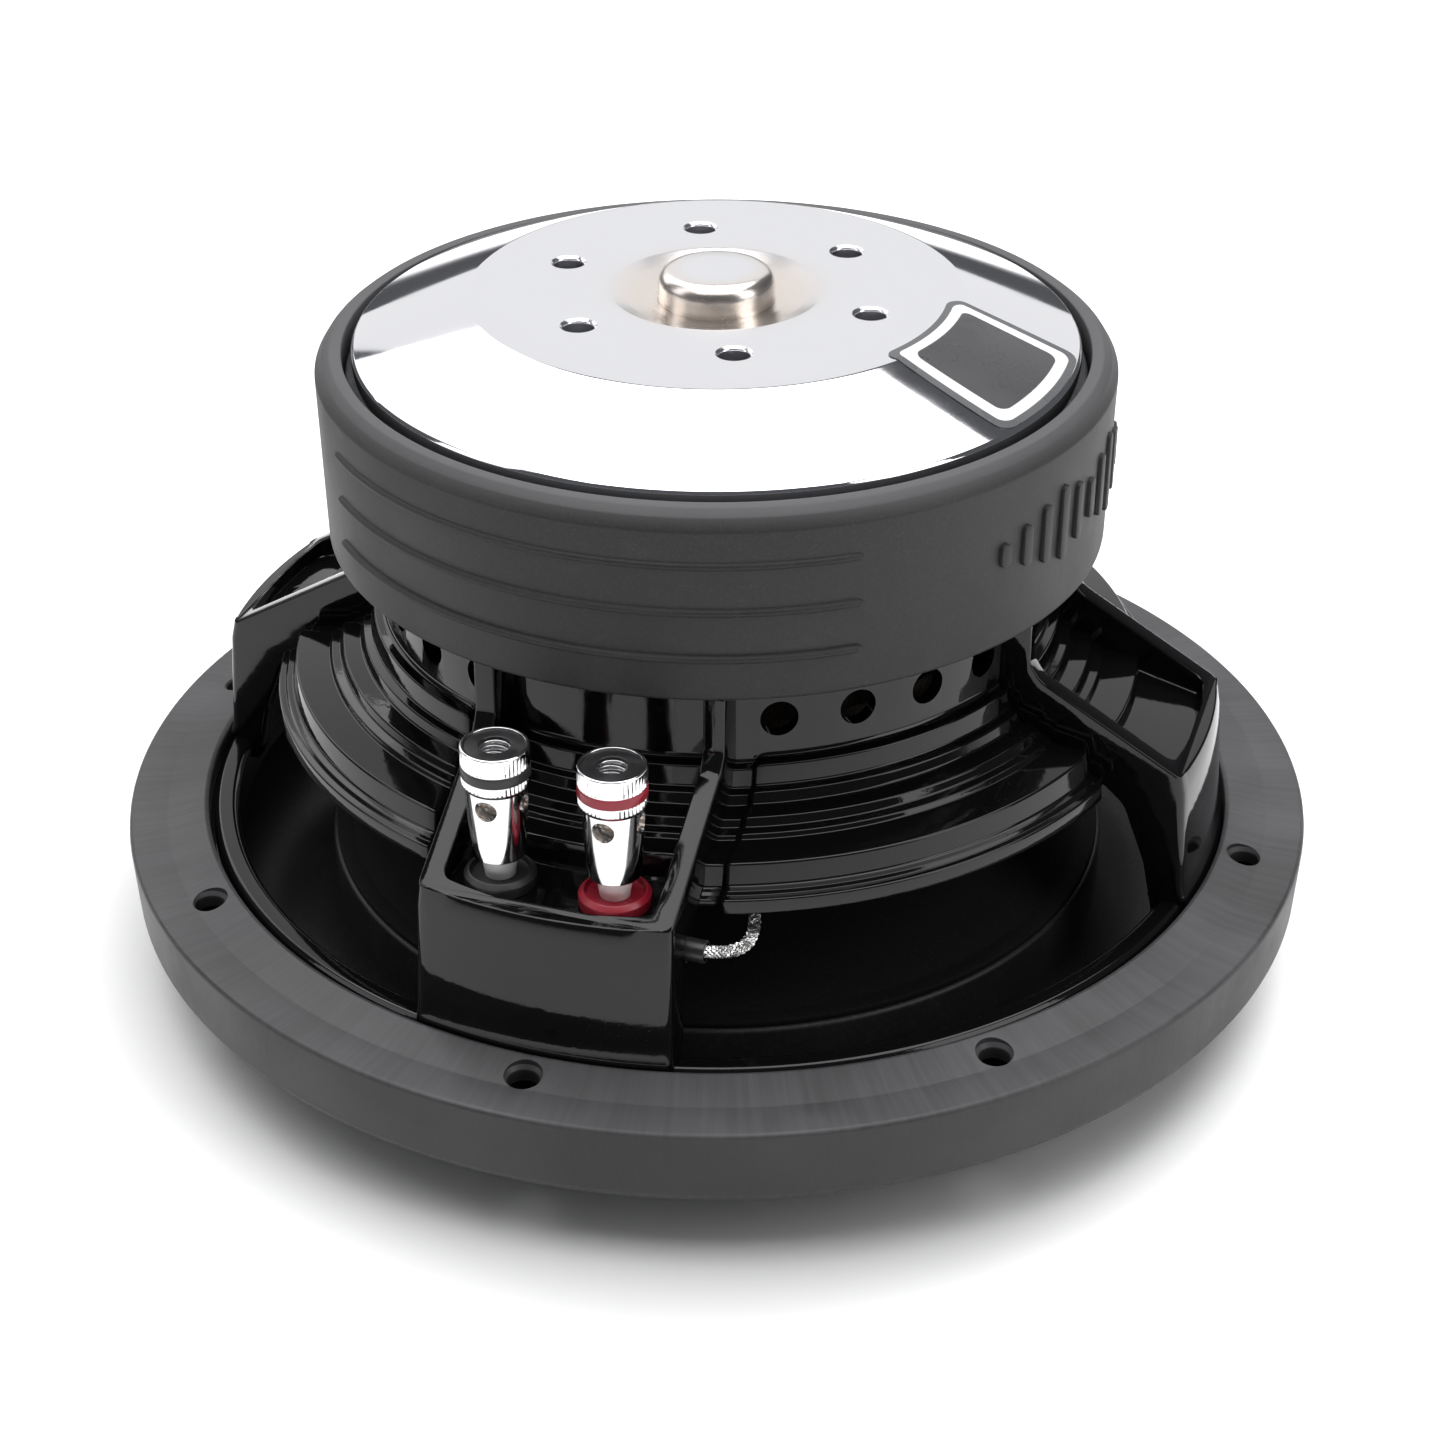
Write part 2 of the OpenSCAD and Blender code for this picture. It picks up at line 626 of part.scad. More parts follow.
basket_flange();
basket_bowl();
basket_neck();
spoke(-90);  // spoke_terminal
spoke(0);  // spoke_right
spoke(90);  // spoke_rear
spoke(180);  // spoke_left
mounting_gasket();
surround();
cone();
dust_cap();
spider();
voice_coil_former();
voice_coil_winding();
top_plate();
magnet(magnet_z);  // magnet_front
magnet(magnet_z + magnet_t);  // magnet_rear
back_plate();
pole_piece();
magnet_boot();
rating_label();
motor_screws();
at_post(-1) post();  // terminal_post_black
at_post(1) post();  // terminal_post_red
at_post(-1) push_sleeve();  // push_sleeve_black
at_post(1) push_sleeve();  // push_sleeve_red
at_post(-1) color([0.1, 0.1, 0.1]) sleeve_ring();  // sleeve_ring_black
at_post(1) color([0.6, 0.08, 0.12]) sleeve_ring();  // sleeve_ring_red
at_post(-1) sleeve_cap();  // sleeve_cap_black
at_post(1) sleeve_cap();  // sleeve_cap_red
at_post(-1) return_spring();  // return_spring_black
at_post(1) return_spring();  // return_spring_red
at_post(-1) color([0.1, 0.1, 0.1]) insulator();  // insulator_black
at_post(1) color([0.6, 0.08, 0.12]) insulator();  // insulator_red
at_post(-1) lower_insulator();  // lower_insulator_black
at_post(1) lower_insulator();  // lower_insulator_red
at_post(-1) solder_tab(-1);  // solder_tab_black
at_post(1) solder_tab(1);  // solder_tab_red
terminal_nuts();
tinsel_lead(lead_route_black);  // tinsel_lead_black
tinsel_lead(lead_route_red);  // tinsel_lead_red
lead_sleeve(lead_route_black[1] + [0, 0.8, 0], lead_route_black[2]);  // lead_sleeve_black
lead_sleeve(lead_route_red[0] + [1.6, 0, 0], lead_route_red[2] + [3, 0, 0]);  // lead_sleeve_red
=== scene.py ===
# %% [markdown]
# # A car subwoofer driver, lying face down
# The driver stands on the roll of its rubber surround, with its magnet up. The CAD frame gives every
# size, and this script dresses it: each part is modelled again with its real edges, and gets a finish
# that is drawn by nodes. The first cell loads the frame.

from math import asin, atan2, cos, degrees, pi, radians, sin, sqrt, tan

import bpy
from mathutils import Matrix, Vector
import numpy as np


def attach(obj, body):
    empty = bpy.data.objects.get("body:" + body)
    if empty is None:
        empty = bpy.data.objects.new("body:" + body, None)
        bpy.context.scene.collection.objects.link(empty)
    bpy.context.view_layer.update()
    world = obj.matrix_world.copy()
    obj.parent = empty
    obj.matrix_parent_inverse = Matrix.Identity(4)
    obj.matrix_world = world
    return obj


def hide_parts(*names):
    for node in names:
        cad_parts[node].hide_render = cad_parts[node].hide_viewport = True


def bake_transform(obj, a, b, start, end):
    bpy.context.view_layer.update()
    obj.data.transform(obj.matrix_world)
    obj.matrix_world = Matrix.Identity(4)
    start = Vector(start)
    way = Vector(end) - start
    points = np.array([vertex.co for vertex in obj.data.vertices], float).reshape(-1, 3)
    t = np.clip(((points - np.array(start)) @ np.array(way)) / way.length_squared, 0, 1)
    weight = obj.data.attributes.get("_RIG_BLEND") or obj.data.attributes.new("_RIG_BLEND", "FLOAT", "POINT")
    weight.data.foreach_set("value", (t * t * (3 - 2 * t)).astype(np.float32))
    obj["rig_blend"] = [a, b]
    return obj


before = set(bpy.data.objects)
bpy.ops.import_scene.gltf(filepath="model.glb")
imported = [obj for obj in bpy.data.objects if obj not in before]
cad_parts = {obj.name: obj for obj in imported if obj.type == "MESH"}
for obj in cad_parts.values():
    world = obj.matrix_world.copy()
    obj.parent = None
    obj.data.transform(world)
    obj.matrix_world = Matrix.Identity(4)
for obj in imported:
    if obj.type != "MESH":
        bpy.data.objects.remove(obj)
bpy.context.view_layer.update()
MM = 0.001

# %% [markdown]
# ## Where things are
# The speaker's axis is Z. Four channel-shaped spokes lie along -Y, +X, +Y and -X, and the two wire
# terminals stand on the spoke along -Y. Everything below is in millimetres and is turned into metres
# when a mesh is made.

# %% Shared sizes
TERMINAL_SPOKE = -90
SPOKE_ANGLES = (-90, 0, 90, 180)
SPOKE_HALF_WIDTH = {-90: 21.0, 0: 18.0, 90: 18.0, 180: 18.0}
RIB_THICKNESS = 3.6
BOLT_CIRCLE, BOLT_HOLE, BOLT_COUNT = 96.5, 2.55, 8
FORMER_SEAT = 25.32
POST_X, POST_Y, DECK = 9.525, -79.5, 51.5
COLOURS = ("black", "red")
SIDE = {"black": -1, "red": 1}

# %% [markdown]
# ## Small tools of the workshop
# Most of these parts were turned on a lathe, pressed or cast round an axis. On the computer that is a
# closed outline, spun once round Z. The outline is written as corners, and a corner may have a radius,
# because a real edge is never quite sharp: the tiny curve is what catches the light.

# %% Selecting, and rounding the corners of an outline
ARC_STEPS = 4


def only(*pieces):
    """Selects just these pieces, the first one active."""
    bpy.ops.object.select_all(action="DESELECT")
    for piece in pieces:
        piece.select_set(True)
    bpy.context.view_layer.objects.active = pieces[0]


def rounded(corners, steps=ARC_STEPS):
    """Points of a closed outline. A corner is (across, up) or (across, up, radius)."""
    points = []
    for i, corner in enumerate(corners):
        here = Vector(corner[:2])
        if len(corner) < 3:
            points.append(here)
            continue
        back = Vector(corners[i - 1][:2]) - here
        ahead = Vector(corners[(i + 1) % len(corners)][:2]) - here
        half = back.angle(ahead) / 2
        reach = min(corner[2] / tan(half), 0.45 * back.length, 0.45 * ahead.length)
        middle = here + (back.normalized() + ahead.normalized()).normalized() * reach / cos(half)
        first = here + back.normalized() * reach - middle
        last = here + ahead.normalized() * reach - middle
        swing = first.angle(last)
        for k in range(steps + 1):
            share = k / steps
            arm = (first * sin((1 - share) * swing) + last * sin(share * swing)) / sin(swing)
            points.append(middle + arm)
    return points


def arc(centre, radius, start, end, steps):
    """Points on a circle in the outline's plane, from one angle to another in degrees."""
    return [(centre[0] + radius * cos(radians(start + (end - start) * k / steps)),
             centre[1] + radius * sin(radians(start + (end - start) * k / steps)))
            for k in range(steps + 1)]


# %% [markdown]
# `turned` is the lathe. It starts from a ring of loose vertices, moves each to its place in the
# outline, and spins them. Vertices on the axis fall together, so doubles are merged before the normals
# are recalculated. The spin tool turns clockwise for a positive angle, so a part sweep is made negative.

# %% The lathe, the saw and the drill
SMOOTH_ANGLE = radians(32)


class Editing:
    """Edit mode for one piece, with its whole mesh selected."""

    def __init__(self, piece):
        self.piece = piece

    def __enter__(self):
        only(self.piece)
        bpy.ops.object.mode_set(mode="EDIT")
        bpy.ops.mesh.select_all(action="SELECT")

    def __exit__(self, *problem):
        bpy.ops.object.mode_set(mode="OBJECT")


def smooth(piece, angle=SMOOTH_ANGLE):
    only(piece)
    bpy.ops.object.shade_smooth_by_angle(angle=angle)
    return piece


def mended(piece, merge=1e-6):
    """Merges doubles, drops loose edges and turns the faces outwards."""
    with Editing(piece):
        bpy.ops.mesh.remove_doubles(threshold=merge)
        bpy.ops.mesh.delete_loose()
        bpy.ops.mesh.select_all(action="SELECT")
        bpy.ops.mesh.normals_make_consistent(inside=False)
    return piece


def outline_ring(name, points, fill="NOTHING", place=lambda p: (p[0], 0, p[1])):
    """A ring of vertices, one for each point in millimetres, put where place says."""
    bpy.ops.object.select_all(action="DESELECT")
    bpy.ops.mesh.primitive_circle_add(vertices=len(points), radius=1, fill_type=fill)
    piece = bpy.context.object
    piece.name = piece.data.name = name
    for vertex, point in zip(piece.data.vertices, points):
        vertex.co = Vector(place(point)) * MM
    return piece


def turned(name, corners, steps=192, sweep=360.0, first=0.0):
    """A solid of revolution. A sweep under 360 degrees leaves two flat ends, which are filled."""
    whole = sweep >= 360
    piece = outline_ring(name, rounded(corners), "NOTHING" if whole else "NGON")
    with Editing(piece):
        bpy.ops.mesh.spin(steps=steps, angle=2 * pi if whole else -radians(sweep),
                          center=(0, 0, 0), axis=(0, 0, 1))
    if first:
        piece.data.transform(Matrix.Rotation(radians(first), 4, "Z"))
    mended(piece)
    return smooth(piece)


def extruded(name, corners, low, high, along="z"):
    """A plate: an outline drawn across one axis and pulled along it from low to high."""
    place = {"z": lambda p: (p[0], p[1], low), "y": lambda p: (p[0], low, p[1]),
             "x": lambda p: (low, p[0], p[1])}[along]
    pull = {"z": (0, 0, 1), "y": (0, 1, 0), "x": (1, 0, 0)}[along]
    piece = outline_ring(name, rounded(corners), "NGON", place)
    with Editing(piece):
        move = Vector(pull) * (high - low) * MM
        bpy.ops.mesh.extrude_region_move(TRANSFORM_OT_translate={"value": move})
    return mended(piece)


def moved(piece, shift=(0, 0, 0), turn=0.0, axis="Z"):
    """Turns a mesh about an axis through the origin, then shifts it, in millimetres."""
    where = Matrix.Translation(Vector(shift) * MM) @ Matrix.Rotation(radians(turn), 4, axis)
    piece.data.transform(where)
    return piece


def copied(piece, name):
    """A copy with a mesh of its own."""
    twin = piece.copy()
    twin.data = piece.data.copy()
    twin.name = twin.data.name = name
    bpy.context.collection.objects.link(twin)
    return twin


def joined(name, pieces):
    only(*pieces)
    if len(pieces) > 1:
        bpy.ops.object.join()
    pieces[0].name = pieces[0].data.name = name
    return pieces[0]


def applied(piece, kind, **settings):
    """Adds one modifier to a piece and applies it."""
    only(piece)
    modifier = piece.modifiers.new(kind.title(), kind)
    for key, value in settings.items():
        setattr(modifier, key, value)
    bpy.ops.object.modifier_apply(modifier=modifier.name)
    return piece


def combined(piece, tool, operation="DIFFERENCE"):
    """Cuts a tool out of a piece, or fuses the two, and throws the tool away."""
    applied(piece, "BOOLEAN", object=tool, operation=operation, solver="EXACT")
    bpy.data.objects.remove(tool)
    return piece


def rod(name, radius, low, high, sides=32):
    """A straight bar with that many sides: a drill, a socket's punch or a blank."""
    ring = [(radius * cos(2 * pi * k / sides), radius * sin(2 * pi * k / sides)) for k in range(sides)]
    return extruded(name, ring, low, high)


def ring_of(tool, count, radius, first=0.0):
    """Copies of a tool round the axis, joined. The first one is made to stand at the radius."""
    moved(tool, (radius, 0, 0))
    copies = [tool] + [copied(tool, "copy") for _ in range(count - 1)]
    for k, each in enumerate(copies):
        moved(each, turn=first + k * 360 / count)
    return joined("ring", copies)


def bevelled(piece, width, segments=3, angle=30, clamp=True):
    """Rounds the edges that are sharper than the angle. Clamping keeps the widths within short edges."""
    applied(piece, "BEVEL", width=width * MM, segments=segments, limit_method="ANGLE",
            angle_limit=radians(angle), use_clamp_overlap=clamp)
    return smooth(piece)


# %% [markdown]
# ## Shader maths that reads like maths
# A finish is a small network of nodes. Wiring each Math node by hand is slow to read, so `Signal` wraps
# an output socket and overloads +, - and *. `Finish` is one material: its `node` method adds any other
# node, with its settings first and then the values or links of its inputs.

# %% Signals and finishes
class Signal:
    """An output socket that can be added, scaled and compared."""

    def __init__(self, finish, socket):
        self.finish, self.socket = finish, socket

    def maths(self, operation, *others):
        return self.finish.node("ShaderNodeMath", {"operation": operation}, self, *others)

    def __add__(self, other):
        return self.maths("ADD", other)

    def __sub__(self, other):
        return self.maths("SUBTRACT", other)

    def __mul__(self, other):
        return self.maths("MULTIPLY", other)

    def __rsub__(self, other):
        return self.finish.node("ShaderNodeMath", {"operation": "SUBTRACT"}, other, self)

    __radd__ = __add__
    __rmul__ = __mul__

    def within(self, low, high):
        """0 below low, 1 above high, and a smooth rise between."""
        return self.finish.node("ShaderNodeMapRange", {"interpolation_type": "SMOOTHSTEP"},
                                self, low, high, 0.0, 1.0)


class Finish:
    """One material: a Principled shader and the nodes that feed it."""

    def __init__(self, name, colour, roughness, **constants):
        self.material = bpy.data.materials.new(name)
        self.material.use_nodes = True
        self.tree = self.material.node_tree
        self.shader = next(n for n in self.tree.nodes if n.type == "BSDF_PRINCIPLED")
        self.shader.inputs["Base Color"].default_value = (*colour, 1)
        self.shader.inputs["Roughness"].default_value = roughness
        for key, value in constants.items():
            self.shader.inputs[key.replace("_", " ")].default_value = value
        self.material.diffuse_color = (*colour, 1)

    def node(self, kind, settings=None, *values, out=0, **named):
        made = self.tree.nodes.new(kind)
        for key, value in (settings or {}).items():
            setattr(made, key, value)
        for key, value in [*enumerate(values), *named.items()]:
            target = made.inputs[key if isinstance(key, int) else key.replace("_", " ")]
            if isinstance(value, Signal):
                self.tree.links.new(value.socket, target)
            elif value is not None:
                target.default_value = value
        return Signal(self, made.outputs[out])

    def feed(self, **links):
        for key, value in links.items():
            self.tree.links.new(value.socket, self.shader.inputs[key.replace("_", " ")])

    def place(self, source="Object", scale=None):
        """Where a point of the surface is, in metres, stretched by scale."""
        where = self.node("ShaderNodeTexCoord", out=source)
        return self.node("ShaderNodeMapping", Vector=where, Scale=scale) if scale else where

    def noise(self, where, scale, detail=3.0, roughness=0.55):
        return self.node("ShaderNodeTexNoise", Vector=where, Scale=scale, Detail=detail, Roughness=roughness)

    def parts(self, where):
        """The three numbers that a place is made of, each as a signal."""
        split = self.tree.nodes.new("ShaderNodeSeparateXYZ")
        self.tree.links.new(where.socket, split.inputs[0])
        return [Signal(self, split.outputs[k]) for k in range(3)]

    def polar(self):
        """Angle round the axis (-pi to pi), distance from it, and height, each as a signal."""
        x, y, z = self.parts(self.place())
        angle = y.maths("ARCTAN2", x)
        distance = (x * x + y * y).maths("SQRT")
        return angle, distance, z

    def vector(self, x, y, z):
        return self.node("ShaderNodeCombineXYZ", None, x, y, z)

    def blend(self, share, first, second):
        """Mixes two colours, each a signal or three numbers."""
        mix = self.tree.nodes.new("ShaderNodeMix")
        mix.data_type = "RGBA"
        for slot, value in ((0, share), (6, first), (7, second)):
            if isinstance(value, Signal):
                self.tree.links.new(value.socket, mix.inputs[slot])
            else:
                mix.inputs[slot].default_value = (*value, 1) if slot else value
        return Signal(self, mix.outputs[2])

    def bump(self, height, strength=1.0, distance=0.0001):
        """Turns a height from 0 to 1 into a normal. distance is its real depth in metres."""
        return self.node("ShaderNodeBump", None, Height=height, Strength=strength, Distance=distance)


def wear(finish, scale, low, high):
    """Broad blotches from 0 to 1, as handling and dust leave them."""
    return finish.noise(finish.place(), scale, 4.0).within(low, high)


# %% [markdown]
# ## Painted and plated metals
# The basket is an aluminium casting under gloss black powder paint. Powder paint flows out almost
# flat, but never quite: a ripple about a millimetre long, a few micrometres deep, bends reflections.
# A little dust dulls it in patches. Chrome is the same idea with a metallic shader, and polishing
# lines round the axis in place of the ripple.

# %% Gloss paint, chrome and other metals
def casting_finish():
    paint = Finish("gloss_black_casting", (0.003, 0.003, 0.0032), 0.06, Specular_IOR_Level=0.4)
    where = paint.place()
    ripple = paint.noise(where, 650, 2.0)
    nibs = paint.noise(where, 260, 1.0).within(0.74, 0.8)
    dust = paint.noise(where, 3200, 1.0).within(0.72, 0.78) * wear(paint, 30, 0.4, 0.7)
    paint.feed(Base_Color=paint.blend(dust * 0.6, (0.003, 0.003, 0.0032), (0.06, 0.06, 0.063)),
               Roughness=0.045 + wear(paint, 22, 0.35, 0.75) * 0.07 + dust * 0.3,
               Normal=paint.bump(ripple + nibs * 0.8, 0.35, 0.00003))
    return paint.material


def chrome_finish():
    plate = Finish("chrome_plate", (0.83, 0.83, 0.85), 0.06, Metallic=1.0)
    angle, distance, height = plate.polar()
    heat = (1 - distance.within(0.0115, 0.0215)) * distance.within(0.004, 0.0105)
    tint = plate.blend(heat * 0.55, (0.83, 0.83, 0.855), (0.74, 0.62, 0.50))
    flat = 1 - distance.within(0.0385, 0.0415)
    rings = plate.noise(plate.vector(angle * 0.6, distance * 9000, height * 9000), 1.0, 2.0)
    smear = wear(plate, 45, 0.3, 0.75)
    plate.feed(Base_Color=tint,
               Roughness=0.035 + flat * 0.13 + smear * 0.05 + heat * 0.08,
               Normal=plate.bump(rings, 0.22, 0.000004))
    return plate.material


def terminal_chrome_finish():
    plate = Finish("terminal_chrome", (0.86, 0.86, 0.87), 0.04, Metallic=1.0)
    where = plate.place()
    pits = plate.noise(where, 2600, 1.0).within(0.72, 0.78)
    plate.feed(Base_Color=plate.blend(pits * 0.4, (0.90, 0.90, 0.91), (0.5, 0.47, 0.44)),
               Roughness=0.07 + wear(plate, 240, 0.4, 0.7) * 0.07 + pits * 0.2,
               Normal=plate.bump(plate.noise(where, 900, 2.0), 0.2, 0.000006))
    return plate.material


def brushed_finish(name, colour, dark, roughness, grain=2200, metallic=1.0):
    """Metal with turning marks round the axis and darker stains."""
    metal = Finish(name, colour, roughness, Metallic=metallic)
    angle, distance, height = metal.polar()
    marks = metal.noise(metal.vector(angle * 3, distance * grain, height * grain), 1.0, 3.0)
    stain = wear(metal, 120, 0.45, 0.75)
    metal.feed(Base_Color=metal.blend(stain * 0.6, colour, dark),
               Roughness=roughness + marks * 0.12 + stain * 0.12,
               Normal=metal.bump(marks, 0.3, 0.00001))
    return metal.material


def nickel_finish():
    post = Finish("post_nickel", (0.74, 0.70, 0.62), 0.2, Metallic=1.0)
    _, _, height = post.polar()
    inside = height.within(0.060, 0.068)
    thread = post.noise(post.place(scale=(1, 1, 9)), 900, 2.0)
    # Painted reflection: below this height the post is made near-white and less metallic, standing in for the
    # bright reflection on the plated neck.
    neck = 1 - height.within(0.0570, 0.0585)
    painted_highlight_colour = post.blend(neck * 0.8, (0.78, 0.77, 0.74), (0.95, 0.94, 0.93))
    post.feed(Base_Color=post.blend(inside * thread.within(0.35, 0.6), painted_highlight_colour, (0.62, 0.47, 0.36)),
              Metallic=1 - neck * 0.6,
              Roughness=0.26 + thread * 0.16, Normal=post.bump(thread, 0.4, 0.00003))
    return post.material


# %% [markdown]
# ## Rubber, pulp, cloth and plastic
# Rubber is judged by its sheen. The gasket has fine marks that run outwards, left by the mould and by
# fingers, so its pattern is drawn in polar coordinates: the angle is stretched and the distance is
# not. Pulp and the boot are grainy, so a fine noise both lifts the surface and lightens the tips.

# %% Gasket, boot and surround
def gasket_finish():
    rubber = Finish("gasket_rubber", (0.06, 0.06, 0.062), 0.5)
    angle, distance, height = rubber.polar()
    strokes = rubber.noise(rubber.vector(angle * 95, distance * 22, height * 120), 1.0, 4.0, 0.62)
    fine = rubber.noise(rubber.vector(angle * 420, distance * 60, height * 500), 1.0, 2.0)
    smudge = wear(rubber, 26, 0.38, 0.68)
    haze = rubber.noise(rubber.vector(angle * 3.2, distance * 30, height * 30), 1.0, 3.0).within(0.35, 0.7)
    # Painted light and shade: the face above this height gets a lighter copy of the rubber and the walls below
    # it a darker one, as if lit from above.
    upper = height.within(0.0262, 0.0274)
    tone = strokes.within(0.3, 0.75) * 0.35 + smudge * 0.35 + haze * 0.4
    painted_lit_face = rubber.blend(tone, (0.022, 0.0215, 0.0225), (0.062, 0.061, 0.066))
    wall = rubber.blend(tone * 0.5, (0.015, 0.0148, 0.015), (0.030, 0.0295, 0.030))
    rubber.feed(Base_Color=rubber.blend(upper, wall, painted_lit_face),
                Roughness=0.32 + smudge * 0.16 + fine * 0.14 + strokes * 0.08,
                Normal=rubber.bump(strokes * 0.6 + fine * 0.4, 0.45, 0.00008))
    return rubber.material


def grained_finish(name, dark, light, roughness, grain, depth):
    """Matt black stuff whose raised grain is lighter than its hollows."""
    stuff = Finish(name, dark, roughness)
    where = stuff.place()
    pebble = stuff.noise(where, grain, 3.0, 0.6)
    dust = wear(stuff, 38, 0.4, 0.72)
    tips = pebble.within(0.48, 0.72)
    stuff.feed(Base_Color=stuff.blend(tips * 0.6 + dust * 0.35, dark, light),
               Roughness=roughness + dust * 0.1,
               Normal=stuff.bump(pebble, 0.6, depth))
    return stuff.material


def boot_finish():
    rubber = Finish("boot_rubber", (0.028, 0.027, 0.028), 0.55)
    angle, distance, height = rubber.polar()
    where = rubber.place()
    grain = rubber.noise(where, 2400, 3.0, 0.65)
    # Painted light: the top face of the band gets a lighter grey than its sides, as if lit from above.
    top = height.within(0.1095, 0.1125)
    dust = wear(rubber, 34, 0.4, 0.7)
    scuff = rubber.noise(rubber.vector(angle * 14, distance * 40, height * 260), 1.0, 4.0).within(0.55, 0.8)
    side = rubber.blend(grain.within(0.45, 0.75) * 0.5 + dust * 0.25 + scuff * 0.2,
                        (0.013, 0.0128, 0.013), (0.040, 0.0385, 0.039))
    rubber.feed(Base_Color=rubber.blend(top * 0.75, side, (0.070, 0.070, 0.074)),
                Roughness=0.50 + dust * 0.1 + grain * 0.12,
                Normal=rubber.bump(grain, 0.5, 0.00004))
    return rubber.material


def pulp_finish(name):
    pulp = Finish(name, (0.006, 0.0058, 0.0056), 0.85, Specular_IOR_Level=0.25)
    where = pulp.place()
    fibres = pulp.noise(pulp.place(scale=(1, 1, 2.2)), 1400, 4.0, 0.7)
    flecks = pulp.noise(where, 2600, 2.0).within(0.66, 0.74)
    pulp.feed(Base_Color=pulp.blend(fibres.within(0.45, 0.8) * 0.5 + flecks * 0.5,
                                    (0.0035, 0.0034, 0.0033), (0.020, 0.0195, 0.019)),
              Roughness=0.78 + fibres * 0.15, Normal=pulp.bump(fibres, 0.8, 0.00012))
    return pulp.material


def spider_finish():
    cloth = Finish("spider_cloth", (0.05, 0.035, 0.02), 0.75, Sheen_Weight=0.1)
    warp, weft = (cloth.node("ShaderNodeTexWave", {"wave_type": "BANDS", "bands_direction": way},
                             cloth.place(), 420.0, 1.0, 1.0, 20.0) for way in "XY")
    weave = warp.maths("MAXIMUM", weft)
    resin = wear(cloth, 60, 0.35, 0.7)
    cloth.feed(Base_Color=cloth.blend(weave * 0.5 + resin * 0.3, (0.022, 0.016, 0.010),
                                      (0.085, 0.060, 0.030)),
               Roughness=0.6 + resin * 0.25, Normal=cloth.bump(weave, 0.7, 0.00015))
    return cloth.material


# %% Plastic, film, ferrite, wire and braid
def plastic_finish(name, dark, light, roughness, spread):
    plastic = Finish(name, dark, roughness)
    where = plastic.place()
    fine = plastic.noise(where, 1800, 2.0)
    rub = wear(plastic, 160, 0.4, 0.7)
    plastic.feed(Base_Color=plastic.blend(rub * 0.5 + fine * 0.2, dark, light),
                 Roughness=roughness + rub * spread, Normal=plastic.bump(fine, 0.3, 0.00001))
    return plastic.material


def ferrite_finish():
    ferrite = Finish("ferrite", (0.05, 0.05, 0.055), 0.6)
    where = ferrite.place()
    grain = ferrite.noise(where, 1500, 4.0, 0.7)
    chips = ferrite.noise(where, 180, 2.0).within(0.68, 0.74)
    ferrite.feed(Base_Color=ferrite.blend(grain.within(0.4, 0.7), (0.035, 0.035, 0.04), (0.085, 0.085, 0.09)),
                 Roughness=0.5 + grain * 0.2 + chips * 0.2, Normal=ferrite.bump(grain, 0.5, 0.00005))
    return ferrite.material


def label_finish():
    """A printed film: grey border, white line and dark field, drawn on the label's own UV map."""
    film = Finish("label_film", (0.05, 0.05, 0.055), 0.3)
    u, v, _ = film.parts(film.place("UV"))
    across = (u - 0.5).maths("ABSOLUTE") * LABEL_WIDE
    along = (v - 0.5).maths("ABSOLUTE") * LABEL_LONG

    def inside(margin):
        """1 inside a rounded frame that is margin millimetres in from the label's edge."""
        x = (across - (LABEL_WIDE / 2 - margin - PRINT_CORNER)).maths("MAXIMUM", 0.0)
        y = (along - (LABEL_LONG / 2 - margin - PRINT_CORNER)).maths("MAXIMUM", 0.0)
        reach = (x * x + y * y).maths("SQRT")
        return 1 - reach.within(PRINT_CORNER - 0.12, PRINT_CORNER + 0.12)

    dots = film.noise(film.place(), 3000, 2.0)
    line = inside(LINE_FROM_EDGE[0]) - inside(LINE_FROM_EDGE[1])
    dark = film.blend(dots * 0.4, (0.030, 0.030, 0.033), (0.055, 0.055, 0.06))
    border = film.blend(dots * 0.4, (0.055, 0.058, 0.062), (0.10, 0.10, 0.105))
    ground = film.blend(inside(2.0), border, dark)
    film.feed(Base_Color=film.blend(line, ground, (0.70, 0.70, 0.71)),
              Roughness=0.25 + wear(film, 150, 0.4, 0.7) * 0.2, Normal=film.bump(dots, 0.2, 0.00001))
    return film.material


def braid_finish():
    braid = Finish("tinsel_braid", (0.80, 0.80, 0.79), 0.25, Metallic=1.0)
    strand = braid.noise(braid.place(), 4200, 2.0, 0.6)
    dull = wear(braid, 500, 0.4, 0.7)
    braid.feed(Base_Color=braid.blend(dull * 0.5, (0.86, 0.86, 0.85), (0.42, 0.41, 0.40)),
               Roughness=0.2 + strand * 0.25, Normal=braid.bump(strand, 0.8, 0.00004))
    return braid.material


